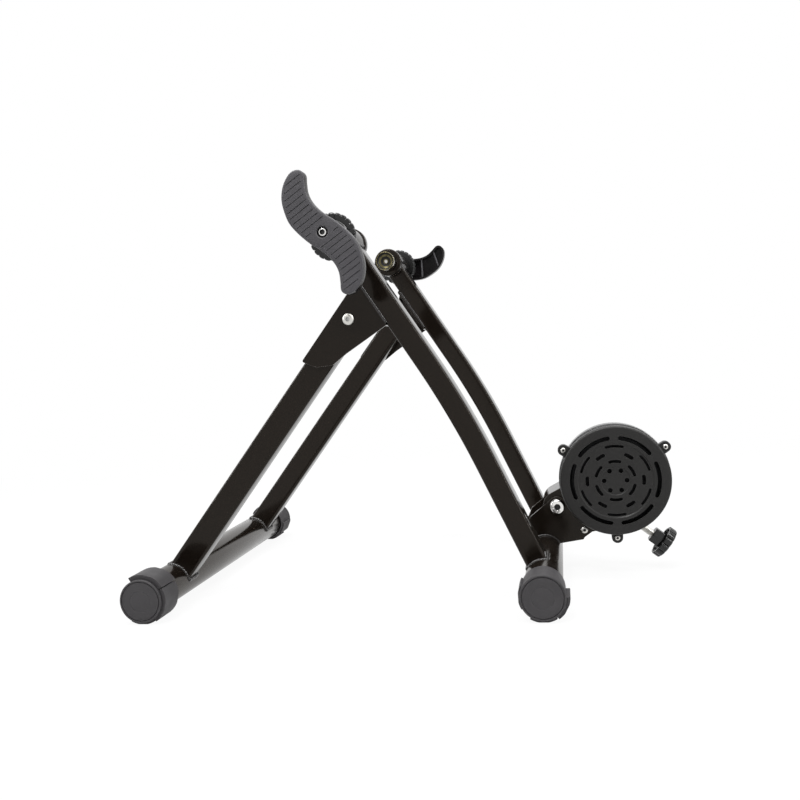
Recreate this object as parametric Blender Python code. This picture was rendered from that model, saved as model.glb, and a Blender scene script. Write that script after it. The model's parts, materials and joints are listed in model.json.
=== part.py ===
"""Folding wheel-on bike trainer with a vented resistance unit.

Units are metres, +Z is up and the floor is Z = 0. +X points to the rear of the bike.
"Near" is the -Y side, where the resistance unit's vented cover is, and "far" is the +Y side.
Distances called "out" are measured along Y from the middle plane towards one side.
"""
import math

import bmesh
import bpy
from mathutils import Matrix, Vector

# Fits
FIT = 0.0003                     # gap between pieces that touch or pass through each other

# Round counts
ROUND = 32                       # sides of tubes, caps and discs
MIDDLE_ROUND = 24                # sides of sleeves, rollers and bearings
SMALL_ROUND = 16                 # sides of bolts, bushes and holes
TINY_ROUND = 8                   # sides of the smallest screws and holes

# Foot tubes and the overall stance
FOOT_TUBE_RADIUS = 0.019
FOOT_TUBE_WALL = 0.002
FOOT_TUBE_HALF = 0.2245
FOOT_SPREAD = 0.3983             # front foot tube axis to rear foot tube axis
REAR_TUBE_X = 0.13757            # puts the origin midway between the front cap and the knob

# Foot caps: a sleeve with a face disc, and levelling pads of stepped thickness round it
CAP_SLEEVE_RADIUS = 0.0212
CAP_LENGTH = 0.037
CAP_FACE_RADIUS = 0.0219
CAP_FACE_THICKNESS = 0.0035
CAP_PAD_START = 0.0035           # from the sleeve's inner end
CAP_PAD_LENGTH = 0.0330
CAP_STAND_RADIUS = 0.0244        # of the pad that the trainer stands on
CAP_PAD_STEP = 0.001             # each pad is this much thicker than the one before
CAP_PAD_FLAT = 0.0045            # half the width of the flat on each pad
CAP_PADS_FRONT = ((-178, -136, -1), (-121, -59, 0), (-57, 29, 1), (31, 120, 2))
CAP_PADS_REAR = ((-208, -150, -1), (-122, -58, 0), (-56, 0, 1))

# Rear legs: rectangular tube, bent once
LEG_CENTRE_OUT = 0.1358
LEG_WALL = 0.0015
LEG_CORNER = 0.003
REAR_LEG_WIDTH = 0.0220
REAR_LEG_DEPTH = 0.0300
BEND_SETBACK = 0.0783            # in front of the rear foot tube
BEND_HEIGHT = 0.1976
BEND_REACH = 0.062               # from the bend's corner to where each straight starts
BEND_PARTS = 5
AXLE_SETBACK = 0.1883
AXLE_HEIGHT = 0.3749

# Front legs and the fold pivot in the bracket
FRONT_LEG_WIDTH = 0.0266
FRONT_LEG_DEPTH = 0.0244
FOLD_DROP = 0.0687               # below the wheel axle, along the rear leg
FOLD_STANDOFF = 0.0406           # in front of the rear leg's centre line
BRACKET_PLATE = 0.0022
BRACKET_STOP_GAP = 0.0005        # between the bracket's web and the front leg
BRACKET_WEB_DEPTH = 0.0130       # of the web, inwards from the leg's outer face
BRACKET_DROP = 0.0276            # reach of the cheeks below the pivot, on the rear leg
BRACKET_RISE = 0.0330            # reach above the pivot, on the rear leg
BRACKET_TAIL = 0.0605            # reach of the web down the front leg
BRACKET_NOSE = 0.0275            # reach of the web above the pivot
BRACKET_HEEL = 0.0485            # reach of the cheeks down the front leg's rear edge

# Fold bolts
FOLD_BOLT_RADIUS = 0.003
FOLD_HEAD_RADIUS = 0.0062
FOLD_HEAD_HEIGHT = 0.0036
FOLD_BUSH_RADIUS = 0.005
FOLD_NUT_RADIUS = 0.0058
FOLD_NUT_HEIGHT = 0.005
FOLD_BOLT_SPARE = 0.0015         # end of the bolt beyond its nut
SMALL_HEX_RADIUS = 0.0022        # corner radius of the hex sockets in small screws
SMALL_HEX_DEPTH = 0.0018

# Axle clamps: sleeve on the leg, spindle through it, cup inside, ring and handle outside
SLEEVE_RADIUS = 0.016
SLEEVE_COLLAR_RADIUS = 0.0174
SLEEVE_COLLAR_LENGTH = 0.010
SLEEVE_INNER_OUT = 0.106
SLEEVE_OUTER_OUT = 0.1837
SPINDLE_RADIUS = 0.008
SPINDLE_NECK_RADIUS = 0.005
CUP_FACE_OUT = 0.0864
CUP_LENGTH = 0.014
CUP_RADIUS = 0.0118
CUP_EDGE = 0.0006
CUP_MOUTH_RADIUS = 0.0105
CUP_CONE_DEPTH = 0.0076
CUP_CONE_RADIUS = 0.003
CUP_SOCKET_DEPTH = 0.0045
RING_OUT = 0.184
RING_THICKNESS = 0.010
RING_RADIUS = 0.0238
RING_NOTCH = 0.0013
RING_LOBES = 22
RING_LOBE_POINTS = 3             # one of them is the notch
RING_HUB_RADIUS = 0.0155
RING_HUB_LENGTH = 0.004
HANDLE_FACE_OUT = 0.2340
HANDLE_DEPTH = 0.012
HANDLE_EDGE = 0.001
HANDLE_PLATE = 0.0035
HANDLE_WALL = 0.0026
HANDLE_RIB = 0.002
HANDLE_HUB_RADIUS = 0.0125
HANDLE_HUB_DEPTH = 0.0125        # from the face to the hub's inner end
HANDLE_SEAT_DEPTH = 0.0065       # from the face to the end of the spindle's seat
HANDLE_RECESS_RADIUS = 0.0052
HANDLE_RECESS_DEPTH = 0.0045
HANDLE_SCREW_RADIUS = 0.0025
HANDLE_SCREW_HEAD = 0.0044
HANDLE_SCREW_HEIGHT = 0.0035
HANDLE_SCREW_GRIP = 0.011        # length inside the spindle
NEAR_HANDLE_TURN = 0.0           # degrees about the axle
FAR_HANDLE_TURN = -44.5
# One side of the S outline from the upper tip to the lower one; the other side is its half turn
HANDLE_SIDE = (
    (-0.0168, 0.0530), (-0.0170, 0.0435), (-0.0140, 0.0340), (-0.0080, 0.0252), (0.0015, 0.0174),
    (0.0120, 0.0105), (0.0230, 0.0005), (0.0318, -0.0105), (0.0364, -0.0235), (0.0376, -0.0340),
    (0.0355, -0.0450), (0.0295, -0.0548), (0.0222, -0.0604), (0.0182, -0.0580),
)
# Ribs in the hollow back: (height on the upright S, lean in degrees); the S leans this much as it rises
HANDLE_RIBS = ((-0.048, 118), (-0.030, 135), (0.030, 135), (0.048, 118))
HANDLE_RIB_SHIFT = 0.30
HANDLE_RIB_REACH = 0.05

# Resistance unit bracket: two cheeks on the rear foot tube
CHEEK_INNER_OUT = 0.029
CHEEK_PLATE = 0.003
ARM_SLOPE = 27.46303             # degrees that the arm rises from its pivot to the roller
PIVOT_CLEARANCE = 0.0026         # from the pivot bolt's head to the back shell's rim
ARM_PIVOT_BOSS = 0.0112
SPACER_SETFORTH = 0.0440
SPACER_HEIGHT = 0.0487
SPACER_RADIUS = 0.005
SPACER_BOLT_RADIUS = 0.0025
SPACER_HEAD_RADIUS = 0.0040
SPACER_HEAD_HEIGHT = 0.003
PIVOT_BOLT_RADIUS = 0.005
PIVOT_HEAD_RADIUS = 0.0087
PIVOT_HEAD_HEIGHT = 0.0055
PIVOT_HEX_RADIUS = 0.0034
PIVOT_HEX_DEPTH = 0.003
PIVOT_NUT_RADIUS = 0.0090
PIVOT_NUT_HEIGHT = 0.007

# Swinging arm that carries the roller
ROLLER_SETFORTH = 0.0783
ROLLER_HEIGHT = 0.1087
ARM_GAP = 0.0007                 # between the arm's cheeks and the bracket's
ARM_PLATE = 0.0025
ARM_HEEL_RADIUS = 0.016          # round the pivot
ARM_NOSE_RADIUS = 0.017          # round the roller's axis
ARM_WEB_END = 0.054              # from the pivot towards the roller
ARM_BELLY = 0.014                # below the line from the pivot to the roller
ARM_BUSH_RADIUS = 0.008

# Roller, shaft and what spins with them
ROLLER_RADIUS = 0.015
ROLLER_HALF = 0.0220
SHAFT_RADIUS = 0.004
SHAFT_FAR_OUT = 0.0360
SHAFT_NEAR_OUT = 0.0635
BEARING_RADIUS = 0.011
BEARING_WIDTH = 0.007
BEARING_INNER_OUT = 0.0228
CLIP_RADIUS = 0.0075
CLIP_THICKNESS = 0.003
ROTOR_CLEARANCE = 0.0044         # from the cover's wall
ROTOR_THICKNESS = 0.003
FLYWHEEL_INSET = 0.006           # from the rotor disc's rim
FLYWHEEL_THICKNESS = 0.0085
FLYWHEEL_HUB_RADIUS = 0.014
SHAFT_NUT_RADIUS = 0.0075
SHAFT_NUT_HEIGHT = 0.005

# Housing of the resistance unit
HOUSING_BACK_OUT = 0.0340
HOUSING_SPLIT_OUT = 0.0573
HOUSING_FACE_OUT = 0.0720
HOUSING_RADIUS = 0.0588
HOUSING_STEP = 0.0012            # of the back shell's radius beyond the cover's
HOUSING_WALL = 0.0024
HOUSING_FLOOR = 0.0026
HOUSING_BOSS_RADIUS = 0.0168
EAR_OFFSET = 0.0035              # from the back shell's rim to the screws
EAR_RADIUS = 0.0060
EAR_THICKNESS = 0.0050
EAR_ANGLES = (32, 148, 270)
EAR_HOLE_RADIUS = 0.0022
EAR_SCREW_HEAD_RADIUS = 0.0029
EAR_SCREW_HEAD_HEIGHT = 0.002
MOUNT_SCREW_CIRCLE = 0.0139
MOUNT_SCREW_RADIUS = 0.0015
MOUNT_HEAD_RADIUS = 0.0025
MOUNT_HEAD_HEIGHT = 0.002
MOUNT_ANGLES = (90, 210, 330)
MAGNET_INSET = 0.004             # from the rotor disc's rim
MAGNET_BORE_RADIUS = 0.0260
MAGNET_THICKNESS = 0.005
MAGNET_GAP = 0.001               # between the magnet ring and the rotor disc
# Vents: (radius, radial width, half angle, first angle), each six times round; all in one pattern
VENTS = (
    (0.0460, 0.0046, 24.0, 0.0), (0.0372, 0.0024, 17.0, 30.0), (0.0298, 0.0036, 9.5, 0.0),
    (0.0208, 0.0034, 18.0, 30.0),
)
VENT_HOLE_CIRCLE = 0.0120
VENT_HOLE_RADIUS = 0.0026
VENT_REPEATS = 6

# Tension screw, its fixed cross nut, the shoe at its tip and the knob
TENSION_TILT = 52.0              # degrees that the screw leans forward of upright
TENSION_NUT_SETFORTH = 0.0878
TENSION_NUT_HEIGHT = 0.0618
TENSION_NUT_RADIUS = 0.0085
TENSION_SPIGOT_RADIUS = 0.005
TENSION_BOSS = 0.0105
TENSION_ROD_RADIUS = 0.004
KNOB_FROM_NUT = 0.0580           # flange centre
KNOB_RADIUS = 0.0172
KNOB_LOBE = 0.0022
KNOB_LOBES = 6
KNOB_THICKNESS = 0.0095
KNOB_HUB_RADIUS = 0.0095
KNOB_HUB_LENGTH = 0.0120
KNOB_EDGE = 0.001
KNOB_SEAT = 0.003                # thickness of the knob's face over the rod's end
SHOE_RADIUS = 0.0065
SHOE_FACE_RADIUS = 0.003575      # of the flat tip; the rest slopes away
SHOE_SLOPE = 0.0028
SHOE_THICKNESS = 0.006
SHOE_SOCKET = 0.0035
SHOE_CLEARANCE = 0.0005

# Places worked out from the sizes
FRONT_TUBE_X = REAR_TUBE_X - FOOT_SPREAD
FOOT_HEIGHT = math.sqrt(CAP_STAND_RADIUS ** 2 - CAP_PAD_FLAT ** 2)
REAR_FOOT = Vector((REAR_TUBE_X, 0.0, FOOT_HEIGHT))
FRONT_FOOT = Vector((FRONT_TUBE_X, 0.0, FOOT_HEIGHT))
BEND = Vector((REAR_TUBE_X - BEND_SETBACK, 0.0, BEND_HEIGHT))
AXLE = Vector((REAR_TUBE_X - AXLE_SETBACK, 0.0, AXLE_HEIGHT))
LEG_DOWN = (BEND - AXLE).normalized()
LEG_FRONT = Vector((LEG_DOWN.z, 0.0, -LEG_DOWN.x))
FOLD_PIVOT = AXLE + LEG_DOWN * FOLD_DROP + LEG_FRONT * FOLD_STANDOFF
FRONT_DOWN = (FRONT_FOOT - FOLD_PIVOT).normalized()
FRONT_FRONT = Vector((FRONT_DOWN.z, 0.0, -FRONT_DOWN.x))
SPACER = Vector((REAR_TUBE_X + SPACER_SETFORTH, 0.0, SPACER_HEIGHT))
ROLLER = Vector((REAR_TUBE_X + ROLLER_SETFORTH, 0.0, ROLLER_HEIGHT))
HOUSING_REAR_RADIUS = HOUSING_RADIUS + HOUSING_STEP
EAR_CIRCLE = HOUSING_REAR_RADIUS + EAR_OFFSET
ROTOR_RADIUS = HOUSING_RADIUS - HOUSING_WALL - ROTOR_CLEARANCE
FLYWHEEL_RADIUS = ROTOR_RADIUS - FLYWHEEL_INSET
MAGNET_RADIUS = ROTOR_RADIUS - MAGNET_INSET
ARM_LENGTH = HOUSING_REAR_RADIUS + PIVOT_CLEARANCE + PIVOT_HEAD_RADIUS
ARM_ANGLE = math.radians(ARM_SLOPE)
ARM_PIVOT = ROLLER - Vector((math.cos(ARM_ANGLE), 0.0, math.sin(ARM_ANGLE))) * ARM_LENGTH
TENSION_NUT = Vector((REAR_TUBE_X + TENSION_NUT_SETFORTH, 0.0, TENSION_NUT_HEIGHT))
LEG_OUTER_OUT = LEG_CENTRE_OUT + REAR_LEG_DEPTH / 2
LEG_FACE_BEHIND_PIVOT = -(FOLD_STANDOFF - REAR_LEG_WIDTH / 2 - FIT)
ARM_OUTER_OUT = CHEEK_INNER_OUT - ARM_GAP
ARM_INNER_OUT = ARM_OUTER_OUT - ARM_PLATE
CHEEK_OUTER_OUT = CHEEK_INNER_OUT + CHEEK_PLATE
NEAR = -1
FAR = 1
SIDES = (("near", NEAR), ("far", FAR))

# Finishes: colour, roughness, metallic
BLACK_ENAMEL = ((0.012, 0.012, 0.013), 0.22, 0.0)
GREY_PLASTIC = ((0.085, 0.085, 0.092), 0.55, 0.0)
BLACK_PLASTIC = ((0.020, 0.020, 0.021), 0.45, 0.0)
RUBBER = ((0.070, 0.069, 0.070), 0.75, 0.0)
COVER_PLASTIC = ((0.050, 0.050, 0.051), 0.50, 0.0)
CHROME = ((0.78, 0.78, 0.78), 0.15, 1.0)
ZINC = ((0.60, 0.60, 0.58), 0.32, 1.0)
STEEL = ((0.50, 0.50, 0.51), 0.35, 1.0)
ALUMINIUM = ((0.70, 0.70, 0.71), 0.38, 1.0)
MAGNET = ((0.30, 0.30, 0.32), 0.40, 1.0)


# General helpers

def clear_scene():
    for obj in list(bpy.data.objects):
        bpy.data.objects.remove(obj, do_unlink=True)


def material(name, finish):
    colour, roughness, metallic = finish
    made = bpy.data.materials.new(name)
    made.use_nodes = True
    shader = made.node_tree.nodes["Principled BSDF"]
    shader.inputs["Base Color"].default_value = (*colour, 1.0)
    shader.inputs["Roughness"].default_value = roughness
    shader.inputs["Metallic"].default_value = metallic
    return made


def add_object(name, bm):
    bmesh.ops.remove_doubles(bm, verts=bm.verts, dist=1e-6)
    bmesh.ops.recalc_face_normals(bm, faces=bm.faces)
    mesh = bpy.data.meshes.new(name)
    bm.to_mesh(mesh)
    bm.free()
    mesh.shade_smooth()
    mesh.set_sharp_from_angle(angle=math.radians(35))
    obj = bpy.data.objects.new(name, mesh)
    bpy.context.scene.collection.objects.link(obj)
    return obj


def node(name, bm, finish, location=(0.0, 0.0, 0.0), parent=None):
    """A visible piece with its own material. Its location is relative to its parent's."""
    obj = add_object(name, bm)
    obj.data.materials.append(material(name, finish))
    obj.location = location
    obj.parent = parent
    return obj


def tool(name, bm, location=(0.0, 0.0, 0.0), parent=None):
    """A shape that only cuts or joins, and isn't a piece."""
    obj = add_object(name, bm)
    obj.location = location
    obj.parent = parent
    obj.hide_render = True
    obj.display_type = "WIRE"
    return obj


def combine(obj, other, operation):
    modifier = obj.modifiers.new(other.name, "BOOLEAN")
    modifier.operation = operation
    modifier.solver = "EXACT"
    modifier.object = other


def cut(obj, *cutters):
    for cutter in cutters:
        combine(obj, cutter, "DIFFERENCE")


def join(obj, *others):
    for other in others:
        combine(obj, other, "UNION")


def axis_empty(name, location, turn=0.0):
    """The axis of a joint; turn is about Y, in radians."""
    empty = bpy.data.objects.new(name, None)
    empty.empty_display_size = 0.02
    empty.location = location
    empty.rotation_euler = (0.0, turn, 0.0)
    bpy.context.scene.collection.objects.link(empty)
    return empty


# Shape helpers

def turned(profile, count=ROUND, axis="Y"):
    """A closed profile of (radius, height) points spun about the Y or Z axis."""
    bm = bmesh.new()
    if axis == "Y":
        verts = [bm.verts.new((radius, height, 0.0)) for radius, height in profile]
        spin_axis = (0.0, 1.0, 0.0)
    else:
        verts = [bm.verts.new((radius, 0.0, height)) for radius, height in profile]
        spin_axis = (0.0, 0.0, 1.0)
    edges = []
    for index, vert in enumerate(verts):
        following = verts[(index + 1) % len(verts)]
        if vert.co.x > 1e-9 or following.co.x > 1e-9:
            edges.append(bm.edges.new((vert, following)))
    bmesh.ops.spin(bm, geom=verts + edges, cent=(0.0, 0.0, 0.0), axis=spin_axis,
                   angle=2 * math.pi, steps=count, use_duplicate=False)
    bmesh.ops.remove_doubles(bm, verts=bm.verts, dist=1e-6)
    return bm


def side_turned(side, profile, count=ROUND):
    """A profile of (radius, distance out) points spun about Y, for one side of the trainer."""
    return turned([(radius, side * out) for radius, out in profile], count)


def prism(outline, start, end):
    """An outline of (x, z) points extruded along Y."""
    bm = bmesh.new()
    verts = [bm.verts.new((x, start, z)) for x, z in outline]
    face = bm.faces.new(verts)
    extruded = bmesh.ops.extrude_face_region(bm, geom=[face])
    moved = [item for item in extruded["geom"] if isinstance(item, bmesh.types.BMVert)]
    bmesh.ops.translate(bm, verts=moved, vec=(0.0, end - start, 0.0))
    return bm


def ring_of_loops(loops):
    """Joins loops of equal length one after another, and the last one to the first."""
    bm = bmesh.new()
    rings = [[bm.verts.new(point) for point in loop] for loop in loops]
    for index, ring in enumerate(rings):
        following = rings[(index + 1) % len(rings)]
        for step in range(len(ring)):
            after = (step + 1) % len(ring)
            bm.faces.new((ring[step], ring[after], following[after], following[step]))
    return bm


def capped(bm, axis, first, second):
    """Swap the ring of faces between two levels on an axis for a flat cap over each open edge loop."""
    ends = {round(abs(first), 6), round(abs(second), 6)}
    bm.faces.ensure_lookup_table()
    for face in list(bm.faces):
        if {round(abs(vert.co[axis]), 6) for vert in face.verts} == ends:
            bm.faces.remove(face)
    bmesh.ops.holes_fill(bm, edges=[edge for edge in bm.edges if edge.is_boundary], sides=0)
    return bm


def merge(*parts):
    """One bmesh that holds several closed shapes."""
    whole = bmesh.new()
    for part in parts:
        mesh = bpy.data.meshes.new("part")
        part.to_mesh(mesh)
        part.free()
        whole.from_mesh(mesh)
        bpy.data.meshes.remove(mesh)
    return whole


def moved(bm, offset):
    bmesh.ops.translate(bm, verts=bm.verts, vec=offset)
    return bm


def polar(radius, degrees):
    angle = math.radians(degrees)
    return (radius * math.cos(angle), radius * math.sin(angle))


def arc(centre, radius, start, end, steps):
    """Points of an arc in degrees, both ends included."""
    points = []
    for step in range(steps + 1):
        x, z = polar(radius, start + (end - start) * step / steps)
        points.append((centre[0] + x, centre[1] + z))
    return points


def circle_cutter(name, radius, half_length, location, parent=None, count=SMALL_ROUND):
    """A cylinder along Y whose flats, and not only its corners, clear the radius."""
    corner = radius / math.cos(math.pi / count)
    profile = [(0.0, -half_length), (corner, -half_length), (corner, half_length), (0.0, half_length)]
    return tool(name, turned(profile, count), location, parent)


def clear_radius(radius, count=SMALL_ROUND):
    """The corner radius of a faceted bore whose flats clear a shaft by the fit."""
    return (radius + FIT) / math.cos(math.pi / count)


def rounded(points, radii, steps=4):
    """A polygon whose corners are rounded, each by its own radius; 0 keeps the corner."""
    result = []
    count = len(points)
    for index, radius in enumerate(radii):
        corner = Vector(points[index])
        before = (Vector(points[index - 1]) - corner)
        after = (Vector(points[(index + 1) % count]) - corner)
        if radius <= 0.0:
            result.append(tuple(corner))
            continue
        half = before.angle(after) / 2
        reach = min(radius / math.tan(half), before.length * 0.49, after.length * 0.49)
        size = reach * math.tan(half)
        bisector = (before.normalized() + after.normalized()).normalized()
        centre = corner + bisector * (size / math.sin(half))
        first = corner + before.normalized() * reach - centre
        last = corner + after.normalized() * reach - centre
        sweep = first.angle_signed(last)
        for step in range(steps + 1):
            turn = Matrix.Rotation(-sweep * step / steps, 2)
            result.append(tuple(centre + turn @ first))
    return result


def smooth_closed(points, parts):
    """A closed curve through the points, each span divided into parts."""
    result = []
    count = len(points)
    for index in range(count):
        p0, p1, p2, p3 = (Vector(points[(index + shift) % count]) for shift in (-1, 0, 1, 2))
        for part in range(parts):
            t = part / parts
            point = (p1 * 2 + (p2 - p0) * t + (p0 * 2 - p1 * 5 + p2 * 4 - p3) * t * t
                     + (p1 * 3 - p0 - p2 * 3 + p3) * t * t * t) / 2
            result.append(tuple(point))
    return result


def inset_outline(points, distance):
    """Moves each point of a smooth clockwise or anticlockwise outline inwards."""
    area = sum(a[0] * b[1] - b[0] * a[1] for a, b in zip(points, points[1:] + points[:1]))
    sign = 1 if area > 0 else -1
    result = []
    for index, point in enumerate(points):
        before = Vector(points[index - 1])
        after = Vector(points[(index + 1) % len(points)])
        along = (after - before).normalized()
        inward = Vector((-along.y, along.x)) * sign
        result.append(tuple(Vector(point) + inward * distance))
    return result


def lobed_circle(radius, lobe, lobes, points_per_lobe):
    """A round outline with shallow lobes."""
    count = lobes * points_per_lobe
    points = []
    for index in range(count):
        swell = lobe * math.cos(2 * math.pi * index / points_per_lobe)
        points.append(polar(radius + swell, 360 * index / count))
    return points


def flat_circle(radius, count):
    return [polar(radius, 360 * index / count) for index in range(count)]


def y_loop(outline, y):
    return [(x, y, z) for x, z in outline]


def scaled(outline, factor):
    return [(x * factor, z * factor) for x, z in outline]


def rectangle_tube(path, width, depth):
    """A hollow rectangular tube with rounded corners along a path in the XZ plane."""
    loops = []
    stations = []
    for index, point in enumerate(path):
        before = (point - path[index - 1]).normalized() if index else (path[1] - point).normalized()
        after = (path[index + 1] - point).normalized() if index + 1 < len(path) else before
        along = (before + after).normalized()
        across = Vector((along.z, 0.0, -along.x))
        mitre = 1.0 / along.dot(before)
        stations.append((point, across, mitre))
    for inset in (0.0, LEG_WALL):
        w = width / 2 - inset
        d = depth / 2 - inset
        corners = [(-w, -d), (w, -d), (w, d), (-w, d)]
        section = rounded(corners, [LEG_CORNER - inset] * 4, 2)
        run = []
        for point, across, mitre in stations:
            run.append([point + across * (u * mitre) + Vector((0.0, v, 0.0)) for u, v in section])
        loops.append(run)
    return ring_of_loops(loops[0] + loops[1][::-1])


# Feet

def foot_tube(name, location, parent):
    outer = FOOT_TUBE_RADIUS
    inner = FOOT_TUBE_RADIUS - FOOT_TUBE_WALL
    half = FOOT_TUBE_HALF
    bm = turned([(outer, -half), (outer, half), (inner, half), (inner, -half)])
    return node(name, bm, BLACK_ENAMEL, location, parent)


def pad_outline(pads, side):
    """The cap's cross-section through its pads, as one outline; far caps are turned end for end."""
    points = []
    for start, end, level in pads:
        radius = CAP_STAND_RADIUS + level * CAP_PAD_STEP
        half_flat = math.degrees(math.asin(CAP_PAD_FLAT / radius))
        middle = (start + end) / 2
        points += arc((0.0, 0.0), radius, start, middle - half_flat, 2)
        points += arc((0.0, 0.0), radius, middle + half_flat, end, 2)
        following = pads[(pads.index((start, end, level)) + 1) % len(pads)][0]
        if following <= end:
            following += 360
        steps = max(1, round((following - end) / 20))
        points += arc((0.0, 0.0), CAP_SLEEVE_RADIUS - FIT, end, following, steps)
    if side == FAR:
        points = [(-x, z) for x, z in points]
    return points


def foot_cap(name, side, pads, foot, parent):
    """Rubber end cap. Its origin is on the foot tube's axis, at the tube's end."""
    inner_end = -CAP_LENGTH
    face = CAP_FACE_THICKNESS
    rim = CAP_FACE_RADIUS
    sleeve = [
        (0.0, inner_end), (CAP_SLEEVE_RADIUS, inner_end), (CAP_SLEEVE_RADIUS, 0.0), (rim, 0.0008),
        (rim, face - 0.0010), (rim - 0.0010, face), (0.0, face),
    ]
    cap = node(name, side_turned(side, sleeve), RUBBER, (0.0, side * FOOT_TUBE_HALF, 0.0), parent)
    start = side * (inner_end + CAP_PAD_START)
    end = side * (inner_end + CAP_PAD_START + CAP_PAD_LENGTH)
    pad = tool("pads_" + name, prism(pad_outline(pads, side), start, end),
               (0.0, side * FOOT_TUBE_HALF, 0.0), parent)
    join(cap, pad)
    bore = clear_radius(FOOT_TUBE_RADIUS, ROUND)
    socket = [(0.0, inner_end - 0.005), (bore, inner_end - 0.005), (bore, FIT), (0.0, FIT)]
    cut(cap, tool("socket_" + name, side_turned(side, socket), (0.0, side * FOOT_TUBE_HALF, 0.0), parent))
    return cap


# Frame

def rear_leg(name, side):
    """Bent rectangular tube, cut to sit on the foot tube and under the axle sleeve."""
    bend_start = BEND + (REAR_FOOT - BEND).normalized() * BEND_REACH
    bend_end = BEND + (AXLE - BEND).normalized() * BEND_REACH
    path = [REAR_FOOT]
    for part in range(BEND_PARTS + 1):
        t = part / BEND_PARTS
        path.append(bend_start.lerp(BEND, t).lerp(BEND.lerp(bend_end, t), t))
    path.append(AXLE)
    bm = rectangle_tube(path, REAR_LEG_WIDTH, REAR_LEG_DEPTH)
    leg = node(name, bm, BLACK_ENAMEL, (0.0, side * LEG_CENTRE_OUT, 0.0))
    centre = Vector((0.0, side * LEG_CENTRE_OUT, 0.0))
    notches = (("foot_notch_", FOOT_TUBE_RADIUS, REAR_FOOT), ("sleeve_notch_", SLEEVE_RADIUS, AXLE))
    for label, radius, place in notches:
        cut(leg, circle_cutter(label + name, radius + FIT, REAR_LEG_DEPTH, place + centre, count=ROUND))
    return leg


def front_leg(name, side, parent):
    """Straight rectangular tube with a round top that turns in the fold bracket."""
    middle = Vector((0.0, side * LEG_CENTRE_OUT, 0.0))
    half = FRONT_LEG_WIDTH / 2
    top = FOLD_PIVOT - FRONT_DOWN * half
    path = [FRONT_FOOT - FOLD_PIVOT, top - FOLD_PIVOT]
    leg = node(name, rectangle_tube(path, FRONT_LEG_WIDTH, FRONT_LEG_DEPTH), BLACK_ENAMEL, middle, parent)
    spare = 0.004
    angle = math.degrees(math.atan2(-FRONT_DOWN.z, -FRONT_DOWN.x))
    arch = arc((0.0, 0.0), half, angle - 90, angle + 90, 10)
    side_step = Vector((-FRONT_FRONT.x, -FRONT_FRONT.z)) * spare
    up_step = Vector((-FRONT_DOWN.x, -FRONT_DOWN.z)) * (half + spare)
    right = Vector(arch[0]) + side_step
    left = Vector(arch[-1]) - side_step
    outline = arch + [tuple(left), tuple(left + up_step), tuple(right + up_step), tuple(right)]
    trim = tool("round_" + name, prism(outline, -FRONT_LEG_DEPTH, FRONT_LEG_DEPTH), middle, parent)
    foot = FRONT_FOOT - FOLD_PIVOT + middle
    depth = FRONT_LEG_DEPTH
    cut(leg, trim,
        circle_cutter("foot_notch_" + name, FOOT_TUBE_RADIUS + FIT, depth, foot, parent, ROUND),
        circle_cutter("bush_hole_" + name, FOLD_BUSH_RADIUS + FIT, depth, middle, parent))
    return leg


def leg_point(down, front):
    """A point by its distance from the fold pivot down the rear leg and out in front of it."""
    point = LEG_DOWN * down + LEG_FRONT * front
    return (point.x, point.z)


def front_point(down, front):
    """A point by its distance from the fold pivot down the front leg and out in front of it."""
    point = FRONT_DOWN * down + FRONT_FRONT * front
    return (point.x, point.z)


def bracket_outline():
    """Side view of the whole fold bracket."""
    face = LEG_FACE_BEHIND_PIVOT
    heel = FRONT_LEG_WIDTH / 2
    web = heel + BRACKET_STOP_GAP + BRACKET_PLATE
    corners = (
        (leg_point(BRACKET_DROP, face), 0.0),
        (leg_point(BRACKET_DROP, 0.022), 0.03),
        (front_point(BRACKET_HEEL, -heel), 0.004),
        (front_point(BRACKET_TAIL, 0.0), 0.0),
        (front_point(BRACKET_TAIL + 0.004, web), 0.002),
        (front_point(-BRACKET_NOSE, web), 0.0),
        (leg_point(-BRACKET_RISE, face), 0.0),
    )
    return rounded([point for point, radius in corners], [radius for point, radius in corners], 3)


def bracket_hollow(web):
    """Side view of the open space in front of the base plate, as far as web ahead of the pivot."""
    base = LEG_FACE_BEHIND_PIVOT + BRACKET_PLATE
    heel = FRONT_LEG_WIDTH / 2
    spare = 0.01
    meeting = (base - web * FRONT_FRONT.dot(LEG_FRONT)) / FRONT_DOWN.dot(LEG_FRONT)
    return [
        leg_point(BRACKET_DROP + spare, base), leg_point(BRACKET_DROP + 3 * spare, FOLD_STANDOFF),
        front_point(BRACKET_TAIL + spare, -heel), front_point(BRACKET_TAIL + spare, web),
        front_point(meeting, web),
    ]


def fold_bracket(name, side):
    """Base plate on the rear leg, one outer cheek, and a narrow web that stops the front leg."""
    half = REAR_LEG_DEPTH / 2
    centre = FOLD_PIVOT + Vector((0.0, side * LEG_CENTRE_OUT, 0.0))
    bracket = node(name, prism(bracket_outline(), -half, half), BLACK_ENAMEL, centre)
    web_back = FRONT_LEG_WIDTH / 2 + BRACKET_STOP_GAP
    cheek = side * (half - BRACKET_PLATE)
    web_edge = side * (half - BRACKET_WEB_DEPTH)
    beyond = -side * half * 2
    cut(bracket,
        tool("channel_" + name, prism(bracket_hollow(web_back), beyond, cheek), centre),
        tool("opening_" + name, prism(bracket_hollow(web_back * 2), beyond, web_edge), centre),
        circle_cutter("bolt_hole_" + name, FOLD_BOLT_RADIUS + FIT, half * 2, centre))
    return bracket


def hexagon(radius):
    return [polar(radius, 60 * index) for index in range(6)]


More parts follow.
